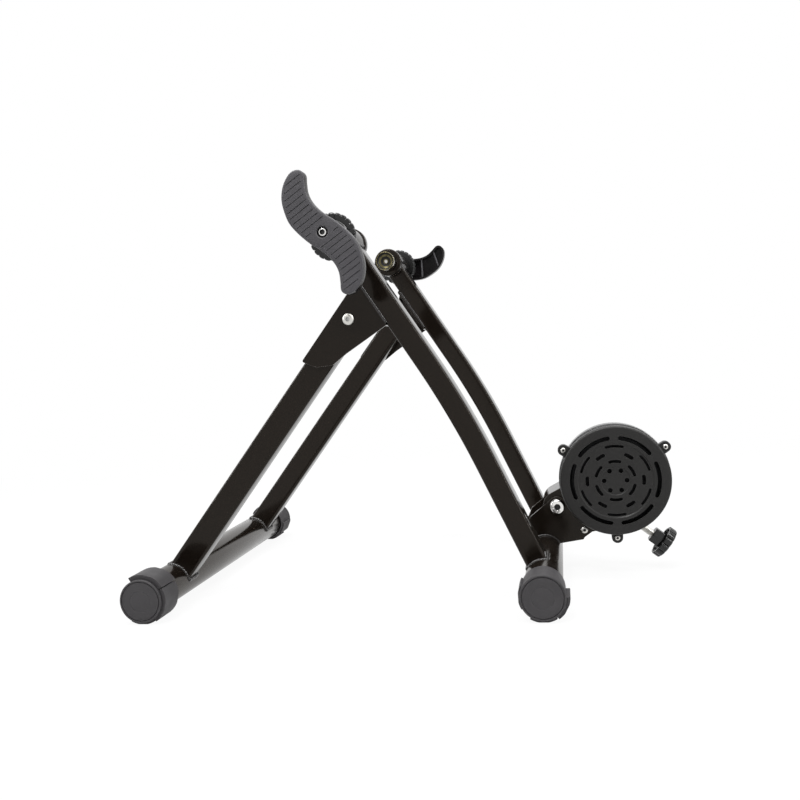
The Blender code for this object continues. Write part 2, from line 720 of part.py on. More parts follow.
def bolt_profile(head_radius, head_height, shank_radius, head_out, end_out, dome):
    """Profile of a bolt whose head's underside is at head_out and whose shank ends at end_out."""
    if dome:
        head = [
            (head_radius, head_out + head_height * 0.25), (head_radius * 0.8, head_out + head_height * 0.75),
            (head_radius * 0.45, head_out + head_height),
        ]
    else:
        head = [
            (head_radius, head_out + head_height - 0.0006), (head_radius - 0.0006, head_out + head_height),
        ]
    return [(0.0, end_out), (shank_radius, end_out), (shank_radius, head_out), (head_radius, head_out)] \
        + head + [(0.0, head_out + head_height)]


def hex_socket(name, obj, radius, face_out, depth, side, location, parent=None):
    bm = prism(hexagon(radius), side * (face_out - depth), side * (face_out + 0.002))
    cut(obj, tool(name, bm, location, parent))


def nut(name, radius, bore, start_out, height, side, finish, location, parent=None):
    """A hexagon nut whose bore clears its bolt."""
    block = prism(hexagon(radius), side * start_out, side * (start_out + height))
    made = node(name, block, finish, location, parent)
    place = location + Vector((0.0, side * start_out, 0.0))
    cut(made, circle_cutter("bore_" + name, bore + FIT, height, place, parent))
    return made


def fold_fasteners(label, side, front_axis):
    """Bolt and nut of one fold pivot, and the bush in the front leg round the bolt."""
    head_out = LEG_OUTER_OUT + FIT
    nut_end = LEG_CENTRE_OUT - FRONT_LEG_DEPTH / 2 - FIT
    nut_out = nut_end - FOLD_NUT_HEIGHT
    tip = nut_out - FOLD_BOLT_SPARE
    profile = bolt_profile(FOLD_HEAD_RADIUS, FOLD_HEAD_HEIGHT, FOLD_BOLT_RADIUS, head_out, tip, True)
    bolt = node("fold_bolt_" + label, side_turned(side, profile, SMALL_ROUND), ZINC, FOLD_PIVOT)
    face = head_out + FOLD_HEAD_HEIGHT
    hex_socket("hex_fold_bolt_" + label, bolt, SMALL_HEX_RADIUS, face, SMALL_HEX_DEPTH, side, FOLD_PIVOT)
    nut("fold_nut_" + label, FOLD_NUT_RADIUS, FOLD_BOLT_RADIUS, nut_out, FOLD_NUT_HEIGHT, side,
        ZINC, FOLD_PIVOT)
    inner = clear_radius(FOLD_BOLT_RADIUS)
    start = LEG_CENTRE_OUT - FRONT_LEG_DEPTH / 2
    end = LEG_OUTER_OUT - BRACKET_PLATE - FIT
    bush = [(FOLD_BUSH_RADIUS, start), (FOLD_BUSH_RADIUS, end), (inner, end), (inner, start)]
    node("fold_bush_" + label, side_turned(side, bush, SMALL_ROUND), STEEL, (0.0, 0.0, 0.0), front_axis)


# Axle clamps

def axle_sleeve(label, side):
    """Threaded sleeve on top of the rear leg, with a collar at its inner end."""
    inner = clear_radius(SPINDLE_RADIUS)
    collar_end = SLEEVE_INNER_OUT + SLEEVE_COLLAR_LENGTH
    profile = [
        (inner, SLEEVE_INNER_OUT), (SLEEVE_COLLAR_RADIUS, SLEEVE_INNER_OUT),
        (SLEEVE_COLLAR_RADIUS, collar_end), (SLEEVE_RADIUS, collar_end),
        (SLEEVE_RADIUS, SLEEVE_OUTER_OUT), (inner, SLEEVE_OUTER_OUT),
    ]
    return node("axle_sleeve_" + label, side_turned(side, profile, MIDDLE_ROUND), BLACK_ENAMEL, AXLE)


def axle_cup(label, side, axis):
    """Cup that holds the wheel axle's end, free to turn on the spindle's neck."""
    back = CUP_FACE_OUT + CUP_LENGTH
    socket = clear_radius(SPINDLE_NECK_RADIUS)
    floor = back - CUP_SOCKET_DEPTH
    cone = CUP_FACE_OUT + CUP_CONE_DEPTH
    profile = [
        (0.0, cone), (CUP_CONE_RADIUS, cone), (CUP_MOUTH_RADIUS, CUP_FACE_OUT),
        (CUP_RADIUS - CUP_EDGE, CUP_FACE_OUT), (CUP_RADIUS, CUP_FACE_OUT + CUP_EDGE),
        (CUP_RADIUS, back - CUP_EDGE), (CUP_RADIUS - CUP_EDGE, back),
        (socket, back), (socket, floor), (0.0, floor),
    ]
    return node("axle_cup_" + label, side_turned(side, profile, SMALL_ROUND), CHROME, (0.0, 0.0, 0.0), axis)


def spindle(label, side, axis):
    """Threaded spindle from the cup to the handle, with a hole for the handle's screw."""
    shoulder = CUP_FACE_OUT + CUP_LENGTH + FIT
    tip = shoulder - FIT - CUP_SOCKET_DEPTH + FIT
    end = HANDLE_FACE_OUT - HANDLE_SEAT_DEPTH - FIT
    hole = clear_radius(HANDLE_SCREW_RADIUS)
    floor = end - HANDLE_SCREW_GRIP - FIT
    profile = [
        (0.0, tip), (SPINDLE_NECK_RADIUS, tip), (SPINDLE_NECK_RADIUS, shoulder), (SPINDLE_RADIUS, shoulder),
        (SPINDLE_RADIUS, end), (hole, end), (hole, floor), (0.0, floor),
    ]
    return node("spindle_" + label, side_turned(side, profile, SMALL_ROUND), ZINC, (0.0, 0.0, 0.0), axis)


def lock_ring(label, side):
    """Lobed lock ring on the spindle, against the sleeve's outer end."""
    count = RING_LOBES * RING_LOBE_POINTS
    rim = [polar(RING_RADIUS - (0.0 if index % RING_LOBE_POINTS else RING_NOTCH), 360 * index / count)
           for index in range(count)]
    hub = flat_circle(RING_HUB_RADIUS, count)
    bore = flat_circle(clear_radius(SPINDLE_RADIUS, count), count)
    thickness_end = RING_OUT + RING_THICKNESS
    hub_end = thickness_end + RING_HUB_LENGTH
    loops = [
        y_loop(rim, side * RING_OUT), y_loop(rim, side * thickness_end), y_loop(hub, side * thickness_end),
        y_loop(hub, side * hub_end), y_loop(bore, side * hub_end), y_loop(bore, side * RING_OUT),
    ]
    return node("lock_ring_" + label, ring_of_loops(loops), BLACK_PLASTIC, AXLE)


def handle_outline(side, turn):
    """The S outline about the axle, turned in degrees; the far one is the same moulding."""
    half = list(HANDLE_SIDE)
    control = half + [(-x, -z) for x, z in half]
    flip = 1 if side == NEAR else -1
    rotation = Matrix.Rotation(math.radians(turn), 2)
    return [tuple(rotation @ Vector((x * flip, z))) for x, z in smooth_closed(control, 2)]


def handle_ribs(side, turn):
    """Slabs across the S, left standing in the hollow back."""
    slabs = []
    flip = 1 if side == NEAR else -1
    rotation = Matrix.Rotation(math.radians(turn), 2)
    back = HANDLE_FACE_OUT - HANDLE_DEPTH
    for height, lean in HANDLE_RIBS:
        along = Vector(polar(HANDLE_RIB / 2, lean))
        across = Vector(polar(HANDLE_RIB_REACH, lean + 90))
        centre = Vector((-HANDLE_RIB_SHIFT * height, height))
        corners = (
            centre + across + along, centre - across + along,
            centre - across - along, centre + across - along,
        )
        points = [tuple(rotation @ Vector((corner.x * flip, corner.y))) for corner in corners]
        slabs.append(prism(points, side * (back + HANDLE_RIB), side * (HANDLE_FACE_OUT + HANDLE_RIB)))
    return merge(*slabs)


def handle_shell(outline, side):
    """The S as a solid block with a small edge round its face."""
    back = HANDLE_FACE_OUT - HANDLE_DEPTH
    bm = ring_of_loops([
        y_loop(outline, side * back), y_loop(outline, side * (HANDLE_FACE_OUT - HANDLE_EDGE)),
        y_loop(inset_outline(outline, HANDLE_EDGE), side * HANDLE_FACE_OUT),
    ])
    return capped(bm, 1, back, HANDLE_FACE_OUT)


def clamp_handle(label, side, turn, axis):
    """S-shaped handle: a face plate with a skirt, ribs and a hub on its back."""
    outline = handle_outline(side, turn)
    back = HANDLE_FACE_OUT - HANDLE_DEPTH
    plate_back = HANDLE_FACE_OUT - HANDLE_PLATE
    hub_start = HANDLE_FACE_OUT - HANDLE_HUB_DEPTH
    seat_end = HANDLE_FACE_OUT - HANDLE_SEAT_DEPTH
    name = "clamp_handle_" + label
    centre = (0.0, 0.0, 0.0)
    handle = node(name, handle_shell(outline, side), GREY_PLASTIC, centre, axis)
    space = prism(inset_outline(outline, HANDLE_WALL), side * (back - 0.002), side * plate_back)
    hollow = tool("hollow_" + name, space, centre, axis)
    cut(hollow, tool("ribs_" + name, handle_ribs(side, turn), centre, axis))
    plate_middle = HANDLE_FACE_OUT - HANDLE_PLATE / 2
    hub_profile = [
        (0.0, hub_start), (HANDLE_HUB_RADIUS, hub_start),
        (HANDLE_HUB_RADIUS, plate_middle), (0.0, plate_middle),
    ]
    hub = tool("hub_" + name, side_turned(side, hub_profile, SMALL_ROUND), centre, axis)
    seat = clear_radius(SPINDLE_RADIUS)
    screw = clear_radius(HANDLE_SCREW_RADIUS)
    recess_floor = HANDLE_FACE_OUT - HANDLE_RECESS_DEPTH
    bore_profile = [
        (0.0, hub_start - 0.002), (seat, hub_start - 0.002), (seat, seat_end), (screw, seat_end),
        (screw, recess_floor), (HANDLE_RECESS_RADIUS, recess_floor),
        (HANDLE_RECESS_RADIUS, HANDLE_FACE_OUT + 0.002), (0.0, HANDLE_FACE_OUT + 0.002),
    ]
    bore = tool("bore_" + name, side_turned(side, bore_profile, SMALL_ROUND), centre, axis)
    cut(handle, hollow)
    join(handle, hub)
    cut(handle, bore)
    return handle


def handle_screw(label, side, axis):
    under_head = HANDLE_FACE_OUT - HANDLE_RECESS_DEPTH + FIT
    end = HANDLE_FACE_OUT - HANDLE_SEAT_DEPTH - HANDLE_SCREW_GRIP
    centre = (0.0, 0.0, 0.0)
    height = HANDLE_SCREW_HEIGHT
    profile = bolt_profile(HANDLE_SCREW_HEAD, height, HANDLE_SCREW_RADIUS, under_head, end, False)
    name = "handle_screw_" + label
    screw = node(name, side_turned(side, profile, SMALL_ROUND), CHROME, centre, axis)
    face = under_head + height
    hex_socket("hex_" + name, screw, SMALL_HEX_RADIUS, face, SMALL_HEX_DEPTH, side, centre, axis)
    return screw


def axle_clamp(label, side, turn):
    axis = axis_empty("axle_axis_" + label, AXLE)
    axle_sleeve(label, side)
    lock_ring(label, side)
    axle_cup(label, side, axis)
    spindle(label, side, axis)
    clamp_handle(label, side, turn, axis)
    handle_screw(label, side, axis)


# Bracket of the resistance unit

def cheek_outline():
    """Side view of one bracket cheek, relative to the rear foot tube's axis."""
    pivot = (ARM_PIVOT.x - REAR_FOOT.x, ARM_PIVOT.z - REAR_FOOT.z)
    nut_place = (TENSION_NUT.x - REAR_FOOT.x, TENSION_NUT.z - REAR_FOOT.z)
    spacer = (SPACER.x - REAR_FOOT.x, SPACER.z - REAR_FOOT.z)
    seat = clear_radius(FOOT_TUBE_RADIUS, ROUND)
    saddle = arc((0.0, 0.0), seat, 152, 30, 11)
    lower = [(spacer[0] - 0.0014, spacer[1] - 0.0111), (spacer[0], spacer[1] - 0.0086),
             (spacer[0] + 0.0087, spacer[1] - 0.0025)]
    boss = arc(nut_place, TENSION_BOSS, -60, 105, 8)
    upper = [(pivot[0] + 0.024, pivot[1] - 0.004)]
    top = arc(pivot, ARM_PIVOT_BOSS, 60, 148, 7)
    left = [(pivot[0] - 0.0306, pivot[1] - 0.0111), (pivot[0] - 0.0375, pivot[1] - 0.0260)]
    return saddle + lower + boss + upper + top + left


def unit_cheek(label, side):
    start = side * CHEEK_INNER_OUT
    end = side * CHEEK_OUTER_OUT
    cheek = node("unit_cheek_" + label, prism(cheek_outline(), start, end), BLACK_ENAMEL, REAR_FOOT)
    middle = Vector((0.0, side * CHEEK_INNER_OUT, 0.0))
    cut(cheek,
        circle_cutter("pivot_hole_" + label, PIVOT_BOLT_RADIUS + FIT, 0.01, ARM_PIVOT + middle),
        circle_cutter("spacer_hole_" + label, SPACER_BOLT_RADIUS + FIT, 0.01, SPACER + middle),
        circle_cutter("spigot_hole_" + label, TENSION_SPIGOT_RADIUS + FIT, 0.01, TENSION_NUT + middle))
    return cheek


def unit_bracket():
    for label, side in SIDES:
        unit_cheek(label, side)
    head_out = CHEEK_OUTER_OUT + FIT
    nut_out = CHEEK_OUTER_OUT + FIT
    pivot = bolt_profile(PIVOT_HEAD_RADIUS, PIVOT_HEAD_HEIGHT, PIVOT_BOLT_RADIUS, head_out,
                         -(nut_out + PIVOT_NUT_HEIGHT + 0.001), False)
    bolt = node("arm_pivot_bolt", side_turned(NEAR, pivot, SMALL_ROUND), CHROME, ARM_PIVOT)
    face = head_out + PIVOT_HEAD_HEIGHT
    hex_socket("hex_arm_pivot_bolt", bolt, PIVOT_HEX_RADIUS, face, PIVOT_HEX_DEPTH, NEAR, ARM_PIVOT)
    nut("arm_pivot_nut", PIVOT_NUT_RADIUS, PIVOT_BOLT_RADIUS, nut_out, PIVOT_NUT_HEIGHT, FAR, ZINC, ARM_PIVOT)
    inner = clear_radius(SPACER_BOLT_RADIUS)
    reach = CHEEK_INNER_OUT - FIT
    spacer = [(SPACER_RADIUS, -reach), (SPACER_RADIUS, reach), (inner, reach), (inner, -reach)]
    node("bracket_spacer", turned(spacer, SMALL_ROUND), ZINC, SPACER)
    height = 0.004
    small = bolt_profile(SPACER_HEAD_RADIUS, SPACER_HEAD_HEIGHT, SPACER_BOLT_RADIUS, head_out,
                         -(nut_out + height + 0.001), True)
    node("bracket_bolt", side_turned(NEAR, small, SMALL_ROUND), ZINC, SPACER)
    nut("bracket_nut", SPACER_HEAD_RADIUS, SPACER_BOLT_RADIUS, nut_out, height, FAR, ZINC, SPACER)


# Swinging arm and the resistance unit on it

def arm_outline(heel, nose, top, low):
    """Side view of the arm from its pivot along to the roller's axis, on level ground."""
    heel_arc = arc((0.0, 0.0), heel, 90, 270, 12)
    nose_arc = arc((ARM_LENGTH, 0.0), nose, -100, 80, 10)
    web = [(ARM_WEB_END + 0.005, top - 0.004), (ARM_WEB_END, top)]
    return heel_arc + [(0.02, -low)] + nose_arc + web


def roller_arm(axis):
    """U-shaped arm: two cheeks and a web that runs round the pivot and over its front."""
    outline = arm_outline(ARM_HEEL_RADIUS, ARM_NOSE_RADIUS, ARM_HEEL_RADIUS, ARM_BELLY)
    pivot = (0.0, 0.0, 0.0)
    arm = node("roller_arm", prism(outline, -ARM_OUTER_OUT, ARM_OUTER_OUT), BLACK_ENAMEL, pivot, axis)
    inner = ARM_HEEL_RADIUS - ARM_PLATE
    beyond = ARM_HEEL_RADIUS * 2
    hollow = arc((0.0, 0.0), inner, 90, 215, 10) + [
        (-inner * 0.74, -beyond), (ARM_LENGTH + beyond, -beyond), (ARM_LENGTH + beyond, beyond),
        (ARM_WEB_END, beyond), (ARM_WEB_END, inner),
    ]
    channel = tool("channel_roller_arm", prism(hollow, -ARM_INNER_OUT, ARM_INNER_OUT), pivot, axis)
    bearing = (ARM_LENGTH, 0.0, 0.0)
    reach = ARM_OUTER_OUT * 2
    cut(arm, channel,
        circle_cutter("pivot_hole_roller_arm", PIVOT_BOLT_RADIUS + FIT, reach, pivot, axis),
        circle_cutter("bearing_hole_roller_arm", BEARING_RADIUS + FIT, reach, bearing, axis, MIDDLE_ROUND))
    turn = Matrix.Rotation(ARM_ANGLE, 3, "Y")
    for number, degrees in enumerate(MOUNT_ANGLES):
        x, z = polar(MOUNT_SCREW_CIRCLE, degrees)
        place = turn @ Vector((x, -ARM_OUTER_OUT, z)) + Vector(bearing)
        name = "mount_hole_%d" % number
        cut(arm, circle_cutter(name, MOUNT_SCREW_RADIUS + FIT, ARM_PLATE * 2, place, axis, TINY_ROUND))
    bush_inner = clear_radius(PIVOT_BOLT_RADIUS)
    reach = ARM_INNER_OUT - FIT
    bush = [(ARM_BUSH_RADIUS, -reach), (ARM_BUSH_RADIUS, reach), (bush_inner, reach), (bush_inner, -reach)]
    node("arm_bush", turned(bush, SMALL_ROUND), STEEL, pivot, axis)
    return arm


def ear_outline(degrees):
    """One screw ear: a round end on a neck that reaches into the housing's wall."""
    turn = Matrix.Rotation(math.radians(degrees), 2)
    root = HOUSING_RADIUS - HOUSING_WALL
    points = [(root + 0.0005, -EAR_RADIUS * 1.25)] + arc((EAR_CIRCLE, 0.0), EAR_RADIUS, -80, 80, 6) \
        + [(root + 0.0005, EAR_RADIUS * 1.25)]
    return [tuple(turn @ Vector(point)) for point in points]


def ears(start_out, end_out):
    return merge(*[prism(ear_outline(degrees), -end_out, -start_out) for degrees in EAR_ANGLES])


def ear_holes(start_out, end_out):
    holes = []
    for degrees in EAR_ANGLES:
        x, z = polar(EAR_CIRCLE, degrees)
        corner = EAR_HOLE_RADIUS / math.cos(math.pi / TINY_ROUND)
        profile = [(0.0, -end_out), (corner, -end_out), (corner, -start_out), (0.0, -start_out)]
        holes.append(moved(turned(profile, TINY_ROUND), (x, 0.0, z)))
    return merge(*holes)


def back_shell():
    """Round tray with a boss that seats on the arm's near cheek."""
    wall = HOUSING_REAR_RADIUS - HOUSING_WALL
    floor = HOUSING_BACK_OUT + HOUSING_FLOOR
    boss_end = ARM_OUTER_OUT + FIT
    bore = clear_radius(BEARING_RADIUS, MIDDLE_ROUND)
    split = HOUSING_SPLIT_OUT - FIT / 2
    profile = [
        (bore, boss_end), (HOUSING_BOSS_RADIUS, boss_end), (HOUSING_BOSS_RADIUS, HOUSING_BACK_OUT),
        (HOUSING_REAR_RADIUS - 0.001, HOUSING_BACK_OUT), (HOUSING_REAR_RADIUS, HOUSING_BACK_OUT + 0.001),
        (HOUSING_REAR_RADIUS, split), (wall, split), (wall, floor), (bore, floor),
    ]
    shell = node("back_shell", side_turned(NEAR, profile), BLACK_PLASTIC, ROLLER)
    join(shell, tool("ears_back_shell", ears(split - EAR_THICKNESS, split), ROLLER))
    cut(shell, tool("ear_holes_back_shell", ear_holes(split - 0.02, split + 0.01), ROLLER))
    for number, degrees in enumerate(MOUNT_ANGLES):
        x, z = polar(MOUNT_SCREW_CIRCLE, degrees)
        place = ROLLER + Vector((x, -HOUSING_BACK_OUT, z))
        name = "shell_hole_%d" % number
        cut(shell, circle_cutter(name, MOUNT_SCREW_RADIUS + FIT, 0.01, place, count=TINY_ROUND))
    return shell


def vent_outline(radius, width, half_angle, degrees):
    steps = max(1, round(half_angle / 8))
    outer = arc((0.0, 0.0), radius + width / 2, degrees - half_angle, degrees + half_angle, steps)
    inner = arc((0.0, 0.0), radius - width / 2, degrees + half_angle, degrees - half_angle, steps)
    return outer + inner


def vents():
    """All the cover's slots and holes in one cutter."""
    shapes = []
    start = -(HOUSING_FACE_OUT + 0.002)
    end = -(HOUSING_FACE_OUT - HOUSING_FLOOR - 0.002)
    for radius, width, half_angle, first in VENTS:
        for repeat in range(VENT_REPEATS):
            shapes.append(prism(vent_outline(radius, width, half_angle, first + 60 * repeat), start, end))
    for repeat in range(VENT_REPEATS):
        x, z = polar(VENT_HOLE_CIRCLE, 60 * repeat)
        outline = [(x + u, z + v) for u, v in flat_circle(VENT_HOLE_RADIUS, TINY_ROUND)]
        shapes.append(prism(outline, start, end))
    return merge(*shapes)


def vented_cover():
    """Front cover with its ring pattern of vents."""
    wall = HOUSING_RADIUS - HOUSING_WALL
    inside = HOUSING_FACE_OUT - HOUSING_FLOOR
    split = HOUSING_SPLIT_OUT + FIT / 2
    profile = [
        (0.0, inside), (wall, inside), (wall, split), (HOUSING_RADIUS, split),
        (HOUSING_RADIUS, HOUSING_FACE_OUT - 0.0015), (HOUSING_RADIUS - 0.0015, HOUSING_FACE_OUT),
        (0.0, HOUSING_FACE_OUT),
    ]
    cover = node("vented_cover", side_turned(NEAR, profile), COVER_PLASTIC, ROLLER)
    join(cover, tool("ears_vented_cover", ears(split, split + EAR_THICKNESS), ROLLER))
    cut(cover, tool("ear_holes_vented_cover", ear_holes(split - 0.01, split + 0.02), ROLLER),
        tool("vents_vented_cover", vents(), ROLLER))
    return cover


def screw_ring(name, profile, circle, angles):
    """Like screws along Y, spaced round the roller's axis; each is a piece of its own."""
    for number, degrees in enumerate(angles):
        x, z = polar(circle, degrees)
        place = ROLLER + Vector((x, 0.0, z))
        node("%s_%d" % (name, number + 1), side_turned(NEAR, profile, TINY_ROUND), ZINC, place)


def cover_screws():
    """Three screws through the ears of both shells."""
    head = HOUSING_SPLIT_OUT + FIT / 2 + EAR_THICKNESS + FIT
    end = HOUSING_SPLIT_OUT - FIT / 2 - EAR_THICKNESS + 0.001
    shank = EAR_HOLE_RADIUS - FIT
    profile = bolt_profile(EAR_SCREW_HEAD_RADIUS, EAR_SCREW_HEAD_HEIGHT, shank, head, end, True)
    screw_ring("cover_screw", profile, EAR_CIRCLE, EAR_ANGLES)


def mount_screws():
    """Three screws that hold the back shell's boss on the arm."""
    head = HOUSING_BACK_OUT + HOUSING_FLOOR + FIT
    end = ARM_INNER_OUT
    profile = bolt_profile(MOUNT_HEAD_RADIUS, MOUNT_HEAD_HEIGHT, MOUNT_SCREW_RADIUS, head, end, False)
    screw_ring("mount_screw", profile, MOUNT_SCREW_CIRCLE, MOUNT_ANGLES)


def magnet_ring():
    """Ring magnet that lies on the back shell's floor, beside the rotor disc."""
    start = HOUSING_BACK_OUT + HOUSING_FLOOR + FIT
    end = start + MAGNET_THICKNESS
    ring = [
        (MAGNET_RADIUS, start), (MAGNET_RADIUS, end), (MAGNET_BORE_RADIUS, end), (MAGNET_BORE_RADIUS, start),
    ]
    node("magnet_ring", side_turned(NEAR, ring, ROUND), MAGNET, ROLLER)
    return end


def bearings():
    inner = clear_radius(SHAFT_RADIUS)
    for label, side in SIDES:
        start = BEARING_INNER_OUT
        end = start + BEARING_WIDTH
        profile = [
            (inner, start), (BEARING_RADIUS, start), (BEARING_RADIUS, end), (inner, end),
        ]
        node("roller_bearing_" + label, side_turned(side, profile, MIDDLE_ROUND), STEEL, ROLLER)


def spinning_set(rotor_start):
    """Shaft, roller, rotor disc, flywheel, nut and end clip; all turn together."""
    shaft = [
        (0.0, -SHAFT_NEAR_OUT), (SHAFT_RADIUS, -SHAFT_NEAR_OUT),
        (SHAFT_RADIUS, SHAFT_FAR_OUT), (0.0, SHAFT_FAR_OUT),
    ]
    axis = axis_empty("roller_axis", ROLLER)
    centre = (0.0, 0.0, 0.0)
    node("roller_shaft", turned(shaft, SMALL_ROUND), STEEL, centre, axis)
    bore = clear_radius(SHAFT_RADIUS)
    roller = [
        (bore, -ROLLER_HALF), (ROLLER_RADIUS, -ROLLER_HALF),
        (ROLLER_RADIUS, ROLLER_HALF), (bore, ROLLER_HALF),
    ]
    node("drive_roller", turned(roller, MIDDLE_ROUND), STEEL, centre, axis)
    clip_start = BEARING_INNER_OUT + BEARING_WIDTH + FIT
    clip = [(bore, clip_start), (CLIP_RADIUS, clip_start), (CLIP_RADIUS, clip_start + CLIP_THICKNESS),
            (bore, clip_start + CLIP_THICKNESS)]
    node("shaft_clip", side_turned(FAR, clip, SMALL_ROUND), ZINC, centre, axis)
    rotor_end = rotor_start + ROTOR_THICKNESS
    rotor = [(bore, rotor_start), (ROTOR_RADIUS, rotor_start), (ROTOR_RADIUS, rotor_end), (bore, rotor_end)]
    node("rotor_disc", side_turned(NEAR, rotor, ROUND), ALUMINIUM, centre, axis)
    wheel_start = rotor_end + FIT
    wheel_end = wheel_start + FLYWHEEL_THICKNESS
    dish = wheel_end - 0.003
    rim = FLYWHEEL_RADIUS - 0.010
    wheel = [
        (bore, wheel_start), (FLYWHEEL_RADIUS, wheel_start), (FLYWHEEL_RADIUS, wheel_end), (rim, wheel_end),
        (rim, dish), (FLYWHEEL_HUB_RADIUS, dish), (FLYWHEEL_HUB_RADIUS, wheel_end), (bore, wheel_end),
    ]
    node("flywheel", side_turned(NEAR, wheel, ROUND), STEEL, centre, axis)
    nut("shaft_nut", SHAFT_NUT_RADIUS, SHAFT_RADIUS, wheel_end + FIT, SHAFT_NUT_HEIGHT, NEAR,
        ZINC, Vector(centre), axis)


def resistance_unit():
    arm_axis = axis_empty("arm_axis", ARM_PIVOT, -ARM_ANGLE)
    roller_arm(arm_axis)
    back_shell()
    vented_cover()
    cover_screws()
    mount_screws()
    magnet_end = magnet_ring()
    bearings()
    spinning_set(magnet_end + MAGNET_GAP)


# Tension screw

def tension_nut():
    """Cross nut held between the bracket's cheeks by a spigot at each end."""
    reach = CHEEK_INNER_OUT - FIT
    spigot = CHEEK_OUTER_OUT
    profile = [
        (0.0, -spigot), (TENSION_SPIGOT_RADIUS, -spigot), (TENSION_SPIGOT_RADIUS, -reach),
        (TENSION_NUT_RADIUS, -reach), (TENSION_NUT_RADIUS, reach), (TENSION_SPIGOT_RADIUS, reach),
        (TENSION_SPIGOT_RADIUS, spigot), (0.0, spigot),
    ]
    made = node("tension_nut", turned(profile, SMALL_ROUND), ZINC, TENSION_NUT)
    bore = clear_radius(TENSION_ROD_RADIUS)
    length = 0.02
    hole = turned([(0.0, -length), (bore, -length), (bore, length), (0.0, length)], SMALL_ROUND, "Z")
    cutter = tool("bore_tension_nut", hole, TENSION_NUT)
    cutter.rotation_euler = (0.0, -math.radians(TENSION_TILT), 0.0)
    cut(made, cutter)
    return made


def web_reach():
    """Distance from the cross nut up the screw to the underside of the arm's web."""
    tilt = math.radians(TENSION_TILT)
    screw = Vector((-math.sin(tilt), 0.0, math.cos(tilt)))
    normal = Vector((-math.sin(ARM_ANGLE), 0.0, math.cos(ARM_ANGLE)))
    height = ARM_HEEL_RADIUS - ARM_PLATE
    return (height - (TENSION_NUT - ARM_PIVOT).dot(normal)) / screw.dot(normal)


def tension_screw():
    """Rod, knob and the shoe that pushes the arm; all along the screw's own Z axis."""
    axis = axis_empty("tension_axis", TENSION_NUT, -math.radians(TENSION_TILT))
    centre = (0.0, 0.0, 0.0)
    lean = math.radians(TENSION_TILT) - ARM_ANGLE
    edge_drop = SHOE_FACE_RADIUS * math.tan(lean)
    top = web_reach() - edge_drop - SHOE_CLEARANCE
    bottom = top - SHOE_THICKNESS
    socket = clear_radius(TENSION_ROD_RADIUS)
    shoe = [
        (0.0, top), (SHOE_FACE_RADIUS, top), (SHOE_RADIUS, top - SHOE_SLOPE), (SHOE_RADIUS, bottom),
        (socket, bottom), (socket, bottom + SHOE_SOCKET), (0.0, bottom + SHOE_SOCKET),
    ]
    node("tension_shoe", turned(shoe, SMALL_ROUND, "Z"), STEEL, centre, axis)
    tip = bottom + SHOE_SOCKET - FIT
    flange_end = -KNOB_FROM_NUT - KNOB_THICKNESS / 2
    seat_floor = flange_end + KNOB_SEAT
    start = seat_floor + FIT
    rod = [(0.0, start), (TENSION_ROD_RADIUS, start), (TENSION_ROD_RADIUS, tip), (0.0, tip)]
    node("tension_rod", turned(rod, SMALL_ROUND, "Z"), ZINC, centre, axis)
    count = KNOB_LOBES * 6
    rim = lobed_circle(KNOB_RADIUS, KNOB_LOBE, KNOB_LOBES, 6)
    hub = flat_circle(KNOB_HUB_RADIUS, count)
    flange_start = flange_end + KNOB_THICKNESS
    bore = flat_circle(clear_radius(TENSION_ROD_RADIUS, count), count)
    face = scaled(rim, 1 - KNOB_EDGE / KNOB_RADIUS)
    heights = (
        (face, flange_end), (rim, flange_end + KNOB_EDGE), (rim, flange_start - KNOB_EDGE),
        (face, flange_start), (hub, flange_start), (hub, flange_start + KNOB_HUB_LENGTH),
        (bore, flange_start + KNOB_HUB_LENGTH), (bore, seat_floor),
    )
    bm = ring_of_loops([[(x, y, height) for x, y in outline] for outline, height in heights])
    node("tension_knob", capped(bm, 2, seat_floor, flange_end), BLACK_PLASTIC, centre, axis)


def frame():
    """Rear frame, fixed, and the front frame that folds about the bracket bolts."""
    front_axis = axis_empty("fold_axis", FOLD_PIVOT)
    foot_tube("rear_foot_tube", REAR_FOOT, None)
    foot_tube("front_foot_tube", FRONT_FOOT - FOLD_PIVOT, front_axis)
    rear_axis = axis_empty("rear_foot_axis", REAR_FOOT)
    front_foot_axis = axis_empty("front_foot_axis", FRONT_FOOT)
    for label, side in SIDES:
        rear_leg("rear_leg_" + label, side)
        front_leg("front_leg_" + label, side, front_axis)
        fold_bracket("fold_bracket_" + label, side)
        fold_fasteners(label, side, front_axis)
        foot_cap("rear_cap_" + label, side, CAP_PADS_REAR, REAR_FOOT, rear_axis)
        foot_cap("front_cap_" + label, side, CAP_PADS_FRONT, FRONT_FOOT, front_foot_axis)


def build():
    clear_scene()
    frame()
    axle_clamp("near", NEAR, NEAR_HANDLE_TURN)
    axle_clamp("far", FAR, FAR_HANDLE_TURN)
    unit_bracket()
    resistance_unit()
    tension_nut()
    tension_screw()


build()
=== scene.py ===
"""Looks for a folding wheel-on bike trainer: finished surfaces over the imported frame.

Metres, +Z up. "Near" is the -Y side, towards the camera. Distances called "out" are measured
along Y from the middle plane. Most places come from the frame's own boxes.
"""
import json
import math

import bmesh
import bpy
from mathutils import Matrix, Vector, noise

